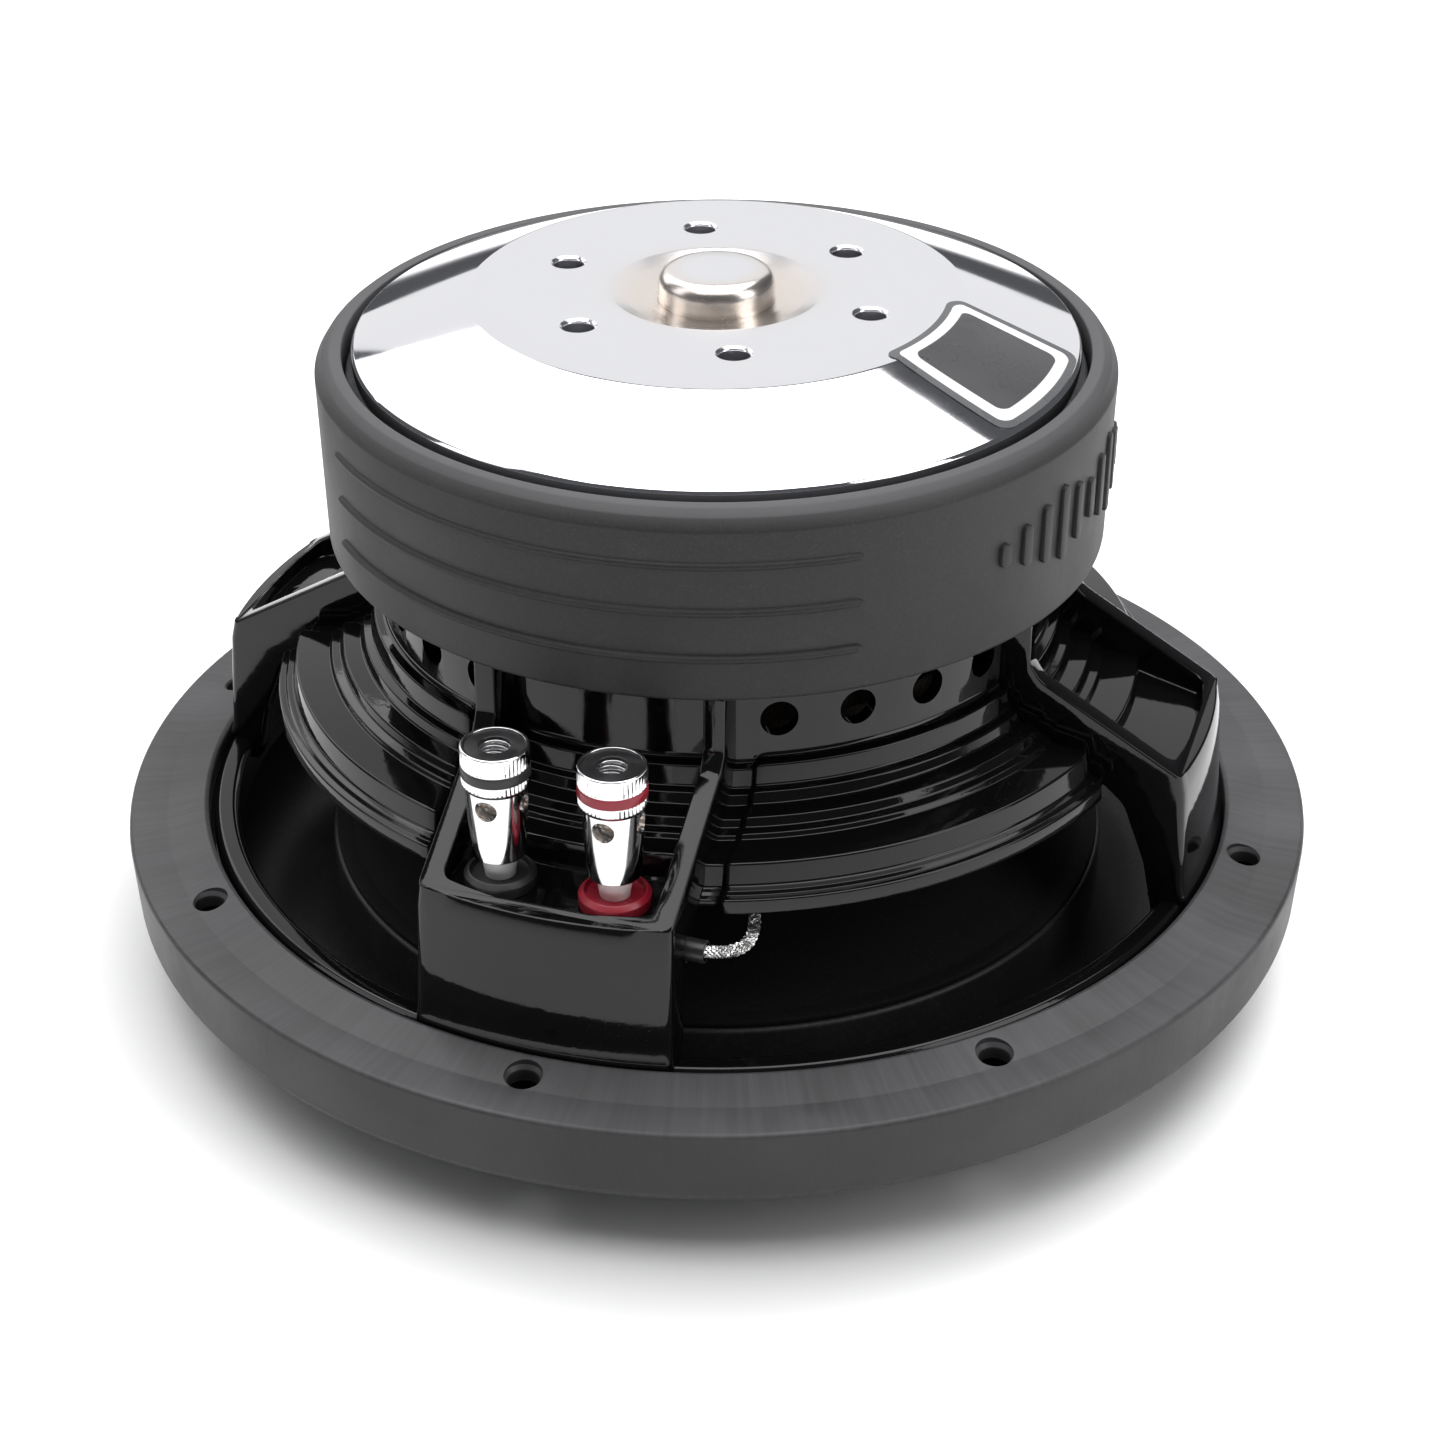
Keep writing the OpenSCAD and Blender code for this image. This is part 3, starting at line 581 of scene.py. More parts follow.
LABEL_WIDE, LABEL_LONG = 24.0, 22.6
PRINT_CORNER, LINE_FROM_EDGE = 1.6, (1.3, 3.1)
FINISHES = {
    "gloss_black_casting": casting_finish(), "chrome_plate": chrome_finish(),
    "terminal_chrome": terminal_chrome_finish(), "post_nickel": nickel_finish(),
    "plated_steel": brushed_finish("plated_steel", (0.58, 0.58, 0.6), (0.34, 0.33, 0.3), 0.3),
    "black_steel": brushed_finish("black_steel", (0.02, 0.02, 0.021), (0.05, 0.045, 0.04), 0.38,
                                  metallic=0.4),
    "spring_steel": brushed_finish("spring_steel", (0.62, 0.62, 0.63), (0.4, 0.38, 0.36), 0.22),
    "tab_brass": brushed_finish("tab_brass", (0.72, 0.54, 0.25), (0.42, 0.28, 0.12), 0.25),
    "coil_wire": brushed_finish("coil_wire", (0.62, 0.25, 0.10), (0.35, 0.12, 0.05), 0.22, 900),
    "gasket_rubber": gasket_finish(), "boot_rubber": boot_finish(),
    "surround_rubber": grained_finish("surround_rubber", (0.009, 0.009, 0.009), (0.028, 0.028, 0.028),
                                      0.5, 1300, 0.00003),
    "cone_paper": pulp_finish("cone_paper"), "dust_cap_paper": pulp_finish("dust_cap_paper"),
    "spider_cloth": spider_finish(),
    "former_film": plastic_finish("former_film", (0.018, 0.014, 0.010), (0.05, 0.04, 0.03), 0.25, 0.2),
    "ferrite": ferrite_finish(), "label_film": label_finish(),
    "black_plastic": plastic_finish("black_plastic", (0.012, 0.012, 0.013), (0.04, 0.04, 0.042), 0.32, 0.2),
    "red_plastic": plastic_finish("red_plastic", (0.25, 0.010, 0.022), (0.36, 0.025, 0.045), 0.25, 0.2),
    "tinsel_braid": braid_finish(),
}
print("finishes:", len(FINISHES))


# %% [markdown]
# ## Handing a piece to the frame
# A finished piece says three things: the body that it moves with, the CAD nodes that it stands for,
# and the slot that its finish comes from.

# %% Placing a finished piece
def placed(piece, body, finish, *nodes):
    """Gives a piece its finish and its body. With no body it is left for a blend between two."""
    piece.data.materials.clear()
    piece.data.materials.append(FINISHES[finish])
    if body:
        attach(piece, body)
    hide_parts(*nodes)
    print(f"{piece.name}: {len(piece.data.polygons)} faces")
    return piece


def radial_blend(piece, fixed_radius, moving_radius):
    """The piece follows the frame at one radius and the cone at the other, as a stretched skin does."""
    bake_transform(piece, "frame", "cone_assembly", start=(fixed_radius * MM, 0, 0),
             end=(moving_radius * MM, 0, 0))
    weights = piece.data.attributes["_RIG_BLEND"]
    for vertex, weight in zip(piece.data.vertices, weights.data):
        reach = Vector(vertex.co[:2]).length / MM
        share = min(max((reach - fixed_radius) / (moving_radius - fixed_radius), 0), 1)
        weight.value = share * share * (3 - 2 * share)


# %% [markdown]
# ## The basket's stepped bowl
# The bowl is cast in terraces, and each terrace stops a few millimetres short of the spokes, with
# round corners. It could be cut with a boolean, but thin slivers beside the cuts would spoil the gloss.
# So it is spun once, and then each column of vertices is pushed: columns that face a spoke's side take
# the lower outline, the others the terraced one, and a few columns between them form the round ends.

# %% Two outlines of the bowl, with the same number of corners
NECK_FOOT = [(58, 80.8, 0.3), (58, 65.2, 1.0), (60.2, 64.8, 0.4), (60.7, 61.4, 0.45), (62.2, 61.0, 0.4),
             (62.7, 59.2, 0.45), (65.9, 58.75, 0.4), (66.4, 57.3, 0.4), (68.0, 57.0, 0.35),
             (68.3, 56.2, 0.35)]
TERRACES = NECK_FOOT + [(74.3, 55.7, 0.45), (74.9, 51.9, 0.5), (76.1, 51.75, 0.25), (76.4, 51.15, 0.25),
                        (77.6, 51.0, 0.35), (77.8, 48.4, 0.3)]
DECK_STEP = NECK_FOOT + [(72.2, 55.9, 0.45), (72.8, 51.9, 0.5), (73.8, 50.9, 0.25), (74.8, 50.6, 0.25),
                         (76.6, 50.4, 0.35), (77.8, 48.4, 0.3)]
VALLEY = [(58, 80.8, 0.3), (58, 64.4, 1.0), (59.4, 63.6, 0.4), (59.9, 60.6, 0.45), (61.2, 59.9, 0.4),
          (61.7, 58.4, 0.45), (64.6, 57.6, 0.4), (65.2, 56.5, 0.4), (66.8, 56.0, 0.35), (67.2, 55.4, 0.35),
          (72.8, 54.5, 0.45), (73.4, 50.7, 0.5), (74.3, 50.4, 0.25), (74.8, 50.1, 0.25), (75.7, 49.8, 0.35),
          (75.9, 48.4, 0.3)]
UNDERSIDE = [(75.2, 48.4, 0.3), (72.3, 49.8, 0.6), (71.9, 53.2, 0.6), (66, 54.3, 0.8), (63.6, 56.2, 0.8),
             (59.6, 58.6, 0.8), (51.2, 59.2, 0.5), (51.2, 61.9, 0.5), (55.6, 61.9, 0.3), (55.6, 77.8, 0.3),
             (32, 77.8, 0.5), (32, 80.8, 0.5)]
ROUND_END = [(2.6, 1.0), (2.85, 0.93), (3.05, 0.8), (3.2, 0.6), (3.35, 0.4), (3.6, 0.22), (4.0, 0.1),
             (4.5, 0.03), (5.1, 0.0)]
NECK_ANGLE_RADIUS = 57.0
CHANNEL_COLUMNS = (0, 3.5, 7, 10.5)
RIB_INSIDE, RIB_MIDDLE, RIB_OUTSIDE = -2.4, -1.6, 0.8
COLUMNS_BETWEEN = 34


def bowl_columns(spoke, following):
    """Each column from the middle of one spoke to the next: where it is, and how far it is valley.
    A place is (spoke, millimetres from that spoke's middle plane), or a share of the way between."""
    near, far = SPOKE_HALF_WIDTH[spoke], SPOKE_HALF_WIDTH[following]

    def leaving(side, half):
        """The columns from a spoke's middle plane out to the end of the rounding beside it."""
        return ([(side, c, "channel") for c in (*CHANNEL_COLUMNS, half - RIB_THICKNESS - 0.2)]
                + [(side, half + RIB_INSIDE, "channel")]
                + [(side, half + c, 1.0) for c in (RIB_MIDDLE, RIB_OUTSIDE)]
                + [(side, half + c, depth) for c, depth in ROUND_END])

    columns = leaving("near", near)
    columns += [("between", k / COLUMNS_BETWEEN, 0.0) for k in range(1, COLUMNS_BETWEEN)]
    columns += leaving("far", far)[:0:-1]
    return columns


def column_angle(kind, value, spoke, following, reach):
    """The direction of a column, in degrees, for a point that far from the axis."""
    reach = max(reach, NECK_ANGLE_RADIUS)
    if kind == "near":
        return spoke + degrees(asin(value / reach))
    if kind == "far":
        return spoke + 90 - degrees(asin(value / reach))
    low = spoke + degrees(asin((SPOKE_HALF_WIDTH[spoke] + ROUND_END[-1][0]) / reach))
    high = spoke + 90 - degrees(asin((SPOKE_HALF_WIDTH[following] + ROUND_END[-1][0]) / reach))
    return low + (high - low) * value


def bowl_piece():
    terraced, valley, deck = (rounded(top + UNDERSIDE) for top in (TERRACES, VALLEY, DECK_STEP))
    columns = []
    for k, spoke in enumerate(SPOKE_ANGLES):
        following = SPOKE_ANGLES[(k + 1) % 4]
        for kind, value, depth in bowl_columns(spoke, following):
            here = spoke if kind == "near" else following
            columns.append((kind, value, depth, spoke, following, here))
    piece = outline_ring("bowl_cast", terraced)
    with Editing(piece):
        bpy.ops.mesh.spin(steps=len(columns), angle=2 * pi, center=(0, 0, 0), axis=(0, 0, 1))
        bpy.ops.mesh.select_all(action="SELECT")
        bpy.ops.mesh.remove_doubles(threshold=1e-7)
    known = {(round(p[0], 2), round(p[1], 2)): i for i, p in enumerate(terraced)}
    for vertex in piece.data.vertices:
        x, y, z = vertex.co / MM
        turn = atan2(y, x) / (2 * pi) * len(columns)
        kind, value, depth, spoke, following, here = columns[round(turn) % len(columns)]
        spun = sqrt(x * x + y * y)
        i = known.get((round(spun, 2), round(z, 2)))
        if i is None:
            i = min(range(len(terraced)), key=lambda n: abs(terraced[n][0] - spun) + abs(terraced[n][1] - z))
        if depth == "channel":
            reach, up = deck[i] if here == TERMINAL_SPOKE else terraced[i]
        else:
            reach, up = Vector(terraced[i]).lerp(Vector(valley[i]), depth)
        angle = radians(column_angle(kind, value, spoke, following, reach))
        vertex.co = Vector((reach * cos(angle), reach * sin(angle), up)) * MM
    mended(piece)
    return piece


# %% [markdown]
# ## Vents in the neck
# Four round holes between each pair of spokes let the spider breathe. They are drilled: one rod is
# laid along X, copied to every place, and cut out of the neck in one go.

# %% Drill the neck and finish the bowl
NECK_VENT_HEIGHT, NECK_VENT_RADIUS, NECK_VENT_PITCH, NECK_VENT_START = 71.8, 3.1, 13, 28


def vent_drills():
    drills = []
    for spoke in SPOKE_ANGLES:
        for k in range(4):
            drill = moved(rod("drill", NECK_VENT_RADIUS, 52, 62, 40), turn=90, axis="Y")
            moved(drill, (0, 0, NECK_VENT_HEIGHT))
            drills.append(moved(drill, turn=spoke + NECK_VENT_START + k * NECK_VENT_PITCH))
    return joined("drills", drills)


bowl = smooth(combined(bowl_piece(), vent_drills()), radians(38))
placed(bowl, "frame", "gloss_black_casting", "basket_bowl", "basket_neck")

# %% [markdown]
# ## The flange and the spokes
# The flange is turned. A spoke is a channel: seen from above it is a U, seen from the side its rim
# slopes up to the neck and its leg narrows down to the flange. So the U is pulled up tall, its outer
# wall is flared, and what lies outside the side view is cut away. A bevel then rounds every edge.

# %% Flange
screw_drill = turned("drill", [(0, 8), (BOLT_HOLE, 8), (BOLT_HOLE, 27.1, 0.3), (3.1, 27.8), (3.1, 34),
                               (0, 34)], 40)
screw_drills = ring_of(screw_drill, BOLT_COUNT, BOLT_CIRCLE)
flange = turned("flange_cast", [(86.5, 20.5, 0.4), (103.4, 20.5, 0.4), (103.4, 25.0, 0.4), (90.9, 25.0, 0.3),
                                (90.8, 27.3, 0.7), (90.0, 28.1, 0.7), (87.4, 28.1, 0.9), (86.5, 27.2, 0.6)])
combined(flange, copied(screw_drills, "drills"))
placed(smooth(flange), "frame", "gloss_black_casting", "basket_flange")

# %% A spoke: the U from above, the side view, and the floor
SPOKE_NODE = {-90: "spoke_terminal", 0: "spoke_right", 90: "spoke_rear", 180: "spoke_left"}
WALL_INNER, WALL_TOP_RADIUS = 85.8, 88.4
FLARE = [(24.0, 3.1), (28.0, 3.0), (29.2, 2.6), (30.4, 2.15), (32.5, 1.95), (36.0, 1.75), (49.0, 0.75),
         (52.0, 0.0)]
FOOT_HEIGHT, FOOT_SPREAD = 31, 0.12
SPOKE_LEVELS = (24.2, 26.2, 28.0, 29.2, 30.4, 32.5, 36.0, 42.5, 49.0, 52.3, 81.0)
SIDE_VIEW = [(53.9, 82), (53.9, 61), (58.5, 59.4), (74, 48.6), (77.5, 45.5, 6), (81.6, 35, 6), (83.6, 26, 1),
             (83.6, 24.2), (93, 24.2), (93, 52.3), (86.4, 52.3, 2.5), (62, 66.6, 5), (60.2, 69.5, 3),
             (60.0, 78.8, 1), (58.4, 80.3), (58.4, 82)]


def flare_at(height):
    """How far the outer wall leans out at a height."""
    for (low, out_low), (high, out_high) in zip(FLARE, FLARE[1:]):
        if height <= high:
            return out_low + (out_high - out_low) * max(height - low, 0) / (high - low)
    return 0.0


def u_outline(half):
    """The channel from above: legs along +X, the wall at their end, every corner rounded."""
    inner = half - RIB_THICKNESS
    reach = sqrt(WALL_TOP_RADIUS ** 2 - half ** 2)
    bend = degrees(asin(half / WALL_TOP_RADIUS))
    inner_bend = degrees(asin(inner / WALL_INNER))
    outside = arc((0, 0), WALL_TOP_RADIUS, -bend + 1.6, bend - 1.6, 14)
    inside = arc((0, 0), WALL_INNER, inner_bend - 2.2, -inner_bend + 2.2, 12)
    return [(50, -half), (reach, -half, 1.7), *outside, (reach, half, 1.7), (50, half), (50, inner),
            (sqrt(WALL_INNER ** 2 - inner ** 2), inner, 2.2), *inside,
            (sqrt(WALL_INNER ** 2 - inner ** 2), -inner, 2.2), (50, -inner)]


def spoke_piece(spoke):
    half = SPOKE_HALF_WIDTH[spoke]
    piece = outline_ring("spoke", rounded(u_outline(half)), "NGON", lambda p: (*p, SPOKE_LEVELS[0]))
    with Editing(piece):
        for low, high in zip(SPOKE_LEVELS, SPOKE_LEVELS[1:]):
            bpy.ops.mesh.extrude_region_move(TRANSFORM_OT_translate={"value": (0, 0, (high - low) * MM)})
    for vertex in piece.data.vertices:
        x, y, z = vertex.co / MM
        reach = sqrt(x * x + y * y)
        if reach > WALL_INNER + 1.4:
            vertex.co.x += flare_at(z) * MM * x / reach
            vertex.co.y += flare_at(z) * MM * y / reach
        elif x > 80 and abs(y) > half - 1.0 and z < FOOT_HEIGHT:
            vertex.co.y += (FOOT_HEIGHT - z) * FOOT_SPREAD * MM * (1 if y > 0 else -1)
    mended(piece)
    side = extruded("side", SIDE_VIEW, -30, 30, "y")
    combined(piece, side, "INTERSECT")
    return piece


def channel_floor(spoke):
    """The floor of the channel past the bowl's last step: flat under the posts, sloping elsewhere."""
    half = SPOKE_HALF_WIDTH[spoke] - RIB_THICKNESS + 0.3
    if spoke == TERMINAL_SPOKE:
        corners = [(71.5, 48.4), (71.5, DECK), (86.6, DECK), (86.6, 48.4)]
    else:
        corners = [(73, 50.2), (73, 53.5), (74.9, 53.05, 0.4), (86.6, 49.8), (86.6, 46.9), (76, 49.6)]
    bend = degrees(asin(half / 80))
    floor = turned("floor", corners, 20, 2 * bend + 2, -bend - 1)
    keep = extruded("keep", [(60, -half), (95, -half), (95, half), (60, half)], 40, 60)
    return combined(floor, keep, "INTERSECT")


OUTLET_RADIUS, OUTLET_PLACE, POST_HOLE = 2.15, (79.2, 0, 45.0), 3.45
for spoke in SPOKE_ANGLES:
    channel = spoke_piece(spoke)
    if spoke == TERMINAL_SPOKE:
        outlet = moved(rod("drill", OUTLET_RADIUS, 12, 26), turn=-90, axis="X")
        combined(channel, moved(outlet, OUTLET_PLACE))
    combined(channel, channel_floor(spoke), "UNION")
    if spoke == TERMINAL_SPOKE:
        for side in (-1, 1):
            combined(channel, moved(rod("drill", POST_HOLE, 40, 60), (-POST_Y, side * POST_X, 0)))
    bevelled(channel, 0.4, 3, 28, clamp=False)
    moved(channel, turn=spoke)
    channel.name = channel.data.name = SPOKE_NODE[spoke] + "_cast"
    placed(channel, "frame", "gloss_black_casting", SPOKE_NODE[spoke])

# %% [markdown]
# ## The mounting gasket and the surround
# Both are moulded rubber rings, so both come off the lathe. The surround is a half roll with walls
# 1.2 mm thick: its outline runs round the roll inside and then outside. It is glued to the basket at
# its outer land and to the cone at its inner one, and stretches between them when the cone moves.

# %% Gasket
GASKET = [(91.8, 25, 0.2), (91.8, 28.5, 0.5), (92.6, 28.9, 0.6), (99.2, 27.5, 2), (106, 27.35, 0.9),
          (105.4, 15.4, 1), (104.4, 13.7, 1), (103.2, 13.4, 0.5), (92.8, 13.4, 0.6), (92.8, 19, 0.2),
          (103.5, 19, 0.2), (103.5, 25, 0.2)]
gasket = combined(turned("gasket_moulded", GASKET, 256), copied(screw_drills, "drills"))
placed(smooth(gasket), "frame", "gasket_rubber", "mounting_gasket")

# %% Surround
ROLL_MIDDLE, ROLL_RADIUS, ROLL_WALL = (80, 11), 11, 1.2
SURROUND = [(103.3, 20.5, 0.2), (89.8, 20.5, 0.8), *arc(ROLL_MIDDLE, ROLL_RADIUS - ROLL_WALL, 0, -180, 26),
            (70.2, 20.2, 0.8), (64.5, 20.2, 0.2), (64.5, 19, 0.3), (69, 19, 1.2),
            *arc(ROLL_MIDDLE, ROLL_RADIUS, 180, 360, 30), (91, 19, 1), (103.3, 19, 0.2)]
surround_roll = combined(turned("surround_roll", SURROUND), screw_drills)
placed(smooth(surround_roll), None, "surround_rubber", "surround")
radial_blend(surround_roll, 91, 69)

# %% [markdown]
# ## Cone, dust cap, spider and voice coil
# The cone and the coil move as one. The spider is a corrugated cloth disc that keeps the coil centred:
# its waves are a cosine, and it bends between the basket's ledge and the coil former.

# %% Cone and dust cap
cone_shell = turned("cone_pressed", [(FORMER_SEAT, 52), (66, 20.2, 1.5), (69.5, 20.2, 0.3),
                                     (69.5, 21.4, 0.4), (66.5, 21.4, 1.5), (FORMER_SEAT, 53.6, 0.3)])
placed(cone_shell, "cone_assembly", "cone_paper", "cone")
CAP_CENTRE, CAP_RADIUS, CAP_EDGE = (0, 107.88), 75.69, -60.22
cap_shell = turned("cap_pressed", [*arc(CAP_CENTRE, CAP_RADIUS, -90, CAP_EDGE, 14),
                                   *arc(CAP_CENTRE, CAP_RADIUS - 0.8, CAP_EDGE, -90, 14)], 128)
placed(cap_shell, "cone_assembly", "dust_cap_paper", "dust_cap")

# %% Spider
SPIDER_START, SPIDER_END, SPIDER_LEVEL, SPIDER_WAVE, SPIDER_ROLLS = 29.0, 50.8, 62.2, 2.0, 4


def spider_line(offset):
    """The corrugation from the inside out, at an offset above or below the middle of the cloth."""
    line = [(FORMER_SEAT, SPIDER_LEVEL + offset)]
    for k in range(SPIDER_ROLLS * 14 + 1):
        turn = k / 14
        reach = SPIDER_START + (SPIDER_END - SPIDER_START) * turn / SPIDER_ROLLS
        line.append((reach, SPIDER_LEVEL + SPIDER_WAVE * sin(2 * pi * turn) + offset))
    return line + [(55.5, SPIDER_LEVEL + offset)]


spider_disc = turned("spider_pressed", spider_line(-0.3) + spider_line(0.3)[::-1], 128)
placed(spider_disc, None, "spider_cloth", "spider")
radial_blend(spider_disc, 50.8, 28.8)

# %% Former and winding
FORMER_OUTSIDE, COIL_LOW, COIL_TURNS, WIRE = 25.3, 72.8, 40, 0.6
COIL_HIGH, WIRE_CENTRES = COIL_LOW + COIL_TURNS * WIRE, 26.0
former_tube = turned("former_rolled", [(25, 46, 0.1), (FORMER_OUTSIDE, 46, 0.1), (FORMER_OUTSIDE, 98, 0.1),
                                       (25, 98, 0.1)], 128)
placed(former_tube, "cone_assembly", "former_film", "voice_coil_former")
winding_line = [(WIRE_CENTRES, COIL_LOW)]
for k in range(COIL_TURNS):
    winding_line += arc((WIRE_CENTRES, COIL_LOW + (k + 0.5) * WIRE), WIRE / 2, -60, 60, 3)
winding_line += [(WIRE_CENTRES, COIL_HIGH), (FORMER_SEAT, COIL_HIGH), (FORMER_SEAT, COIL_LOW)]
winding = turned("winding_layer", winding_line, 96)
placed(winding, "cone_assembly", "coil_wire", "voice_coil_winding")

# %% [markdown]
# ## The motor
# From the basket upwards: top plate, two ferrite rings, and the chromed back plate, with the pole up
# the middle. The back plate is bumped and has six punched vents. A punch draws the edge of its hole
# down a little, so the drill for the vents has a flared mouth.

# %% Plates, magnets and pole
BACK_PLATE = [(9.8, 108.8), (24.6, 108.8), (24.6, 114.5), (34, 114.5), (34, 108.8), (60.6, 108.8, 0.2),
              (61, 109.2, 0.2), (61, 112.9, 0.3), (60.6, 113.4, 0.6), (41, 121.15, 2.5), (18, 121.2, 1.5),
              (15.2, 120.3, 3), (11.5, 119.4, 1), (9.8, 119.3)]
MOTOR_SCREWS, SCREW_CIRCLE = 6, 45
PLATE_VENTS, VENT_CIRCLE, FIRST_VENT = 6, 27.5, -6
screw_holes = ring_of(rod("drill", 2.5, 80, 87.2), MOTOR_SCREWS, SCREW_CIRCLE)
top_disc = combined(turned("top_plate_turned", [(26.9, 80.8, 0.3), (60, 80.8, 0.5), (60, 88.8, 0.5),
                                                (26.9, 88.8, 0.3)]), screw_holes)
placed(smooth(top_disc), "frame", "plated_steel", "top_plate")
MAGNET_THICK = 10
front_ring = turned("magnet_front_fired", [(32, 88.8, 0.5), (62.2, 88.8, 0.5), (62.2, 98.8, 0.5),
                                           (32, 98.8, 0.5)])
rear_ring = moved(copied(front_ring, "magnet_rear_fired"), (0, 0, MAGNET_THICK))
placed(front_ring, "frame", "ferrite", "magnet_front")
placed(rear_ring, "frame", "ferrite", "magnet_rear")
vent_punch = turned("drill", [(0, 108), (2.5, 108), (2.5, 120.75, 0.5), (3.2, 121.3), (3.6, 123),
                              (0, 123)], 40)
vent_punches = ring_of(vent_punch, PLATE_VENTS, VENT_CIRCLE, FIRST_VENT)
back_disc = combined(turned("back_plate_turned", BACK_PLATE, 256), vent_punches)
placed(smooth(back_disc, radians(25)), "frame", "chrome_plate", "back_plate")
pole_bar = turned("pole_turned", [(0, 80.8), (23.9, 80.8, 0.2), (24.4, 81.3, 0.2), (24.4, 108.8, 0.3),
                                  (9.75, 108.8), (9.75, 124.6, 2.6), (0, 124.8)], 128)
placed(pole_bar, "frame", "chrome_plate", "pole_piece")

# %% Motor screws
screw_body = turned("screw", [(0, 86.8), (2.1, 86.8, 0.1), (2.45, 86.4, 0.1), (2.45, 77.8), (4.2, 77.8, 0.2),
                              (4.2, 73.3, 0.5), (0, 73.3)], 32)
socketed = combined(screw_body, rod("socket", 2.3, 72, 75.9, 6))
motor_screws = ring_of(socketed, MOTOR_SCREWS, SCREW_CIRCLE)
motor_screws.name = motor_screws.data.name = "motor_screws_set"
placed(smooth(motor_screws), "frame", "black_steel", "motor_screws")

# %% [markdown]
# ## The rubber boot
# The boot is a moulded band. Each rib on it is a half-round bead that sinks into the surface at both
# ends, so a short sweep is turned and its last columns are pushed in. The second relief is a plain
# level-meter pattern of upright bars. Both are fused with the band, as one moulding.

# %% Boot
BOOT = [(62.6, 80.4, 0.3), (66.7, 80.4, 0.8), (67.2, 109.6, 1), (66.0, 111.5, 1.2), (64.6, 112.6, 0.8),
        (62.6, 112.6, 0.3)]
RIB_HEIGHTS, RIB_SPAN, RIB_END, RIB_MIDDLES, RIB_ROOT = (88, 96, 103.9), 86, 1.8, (-95, 85), 66.6
METER_BARS = (4, 7, 10, 13, 10, 7, 11, 14, 11, 7, 4)
METER_PITCH, METER_WIDTH, METER_MIDDLE, METER_PLACES = 4.4, 2.2, 97, (-8, 172)


def boot_rib(height, middle):
    """One bead round the band. The closer to its ends, the lower and narrower it is."""
    bead = [(65.6, height - 0.75), (66.9, height - 0.75), (67.45, height - 0.5, 0.3), (67.7, height, 0.3),
            (67.45, height + 0.5, 0.3), (66.9, height + 0.75), (65.6, height + 0.75)]
    rib = turned("rib", bead, 86, RIB_SPAN, -RIB_SPAN / 2)
    for vertex in rib.data.vertices:
        x, y, z = vertex.co / MM
        angle, reach = degrees(atan2(y, x)), sqrt(x * x + y * y)
        left = max(RIB_SPAN / 2 - abs(angle), 0) * radians(reach)
        full = sqrt(max(1 - max(1 - left / RIB_END, 0) ** 2, 0))
        bulge = max(reach - RIB_ROOT, 0)
        narrow = height + (z - height) * (0.25 + 0.75 * full)
        reach = min(reach, RIB_ROOT) + bulge * full
        vertex.co = Vector((reach * cos(radians(angle)), reach * sin(radians(angle)), narrow)) * MM
    return moved(rib, turn=middle)


def meter_bar(index, tall, middle):
    half, low, high = METER_WIDTH / 2, METER_MIDDLE - tall / 2, METER_MIDDLE + tall / 2
    bar = extruded("bar", [(-half, low, half), (half, low, half), (half, high, half), (-half, high, half)],
                   64.5, 67.75, "x")
    bevelled(bar, 0.3, 2, 50)
    return moved(bar, turn=middle + (index - (len(METER_BARS) - 1) / 2) * METER_PITCH)


boot_band = turned("boot_moulded", BOOT, 256)
relief = [boot_rib(height, middle) for middle in RIB_MIDDLES for height in RIB_HEIGHTS]
relief += [meter_bar(i, tall, middle) for middle in METER_PLACES for i, tall in enumerate(METER_BARS)]
combined(boot_band, joined("relief", relief), "UNION")
placed(smooth(boot_band, radians(28)), "frame", "boot_rubber", "magnet_boot")

# %% [markdown]
# ## The rating label
# A real label is cut flat and then pressed onto the plate. The same is done here: a thin sheet gets its
# round corners and its UV map while it is flat, and then every point is laid on the bevel. The UV map
# lets the finish draw a border that follows the label's own edges.

# %% Label
LABEL_INNER, LABEL_OUTER, LABEL_THICK, LABEL_CORNER, LABEL_LIFT = 38.4, 60.4, 0.14, 1.9, 0.02
LABEL_INNER_EDGES, LABEL_OUTER_EDGES = (-28.8, 9.4), (-23.8, 7.6)


def plate_top(reach):
    """Height of the back plate's upper surface at a distance from the axis."""
    line = [p for p in rounded(BACK_PLATE) if p[1] > 113.2 and p[0] > 18]
    for outer, inner in zip(line, line[1:]):
        if inner[0] <= reach <= outer[0]:
            return outer[1] + (inner[1] - outer[1]) * (outer[0] - reach) / (outer[0] - inner[0])
    return line[0][1]


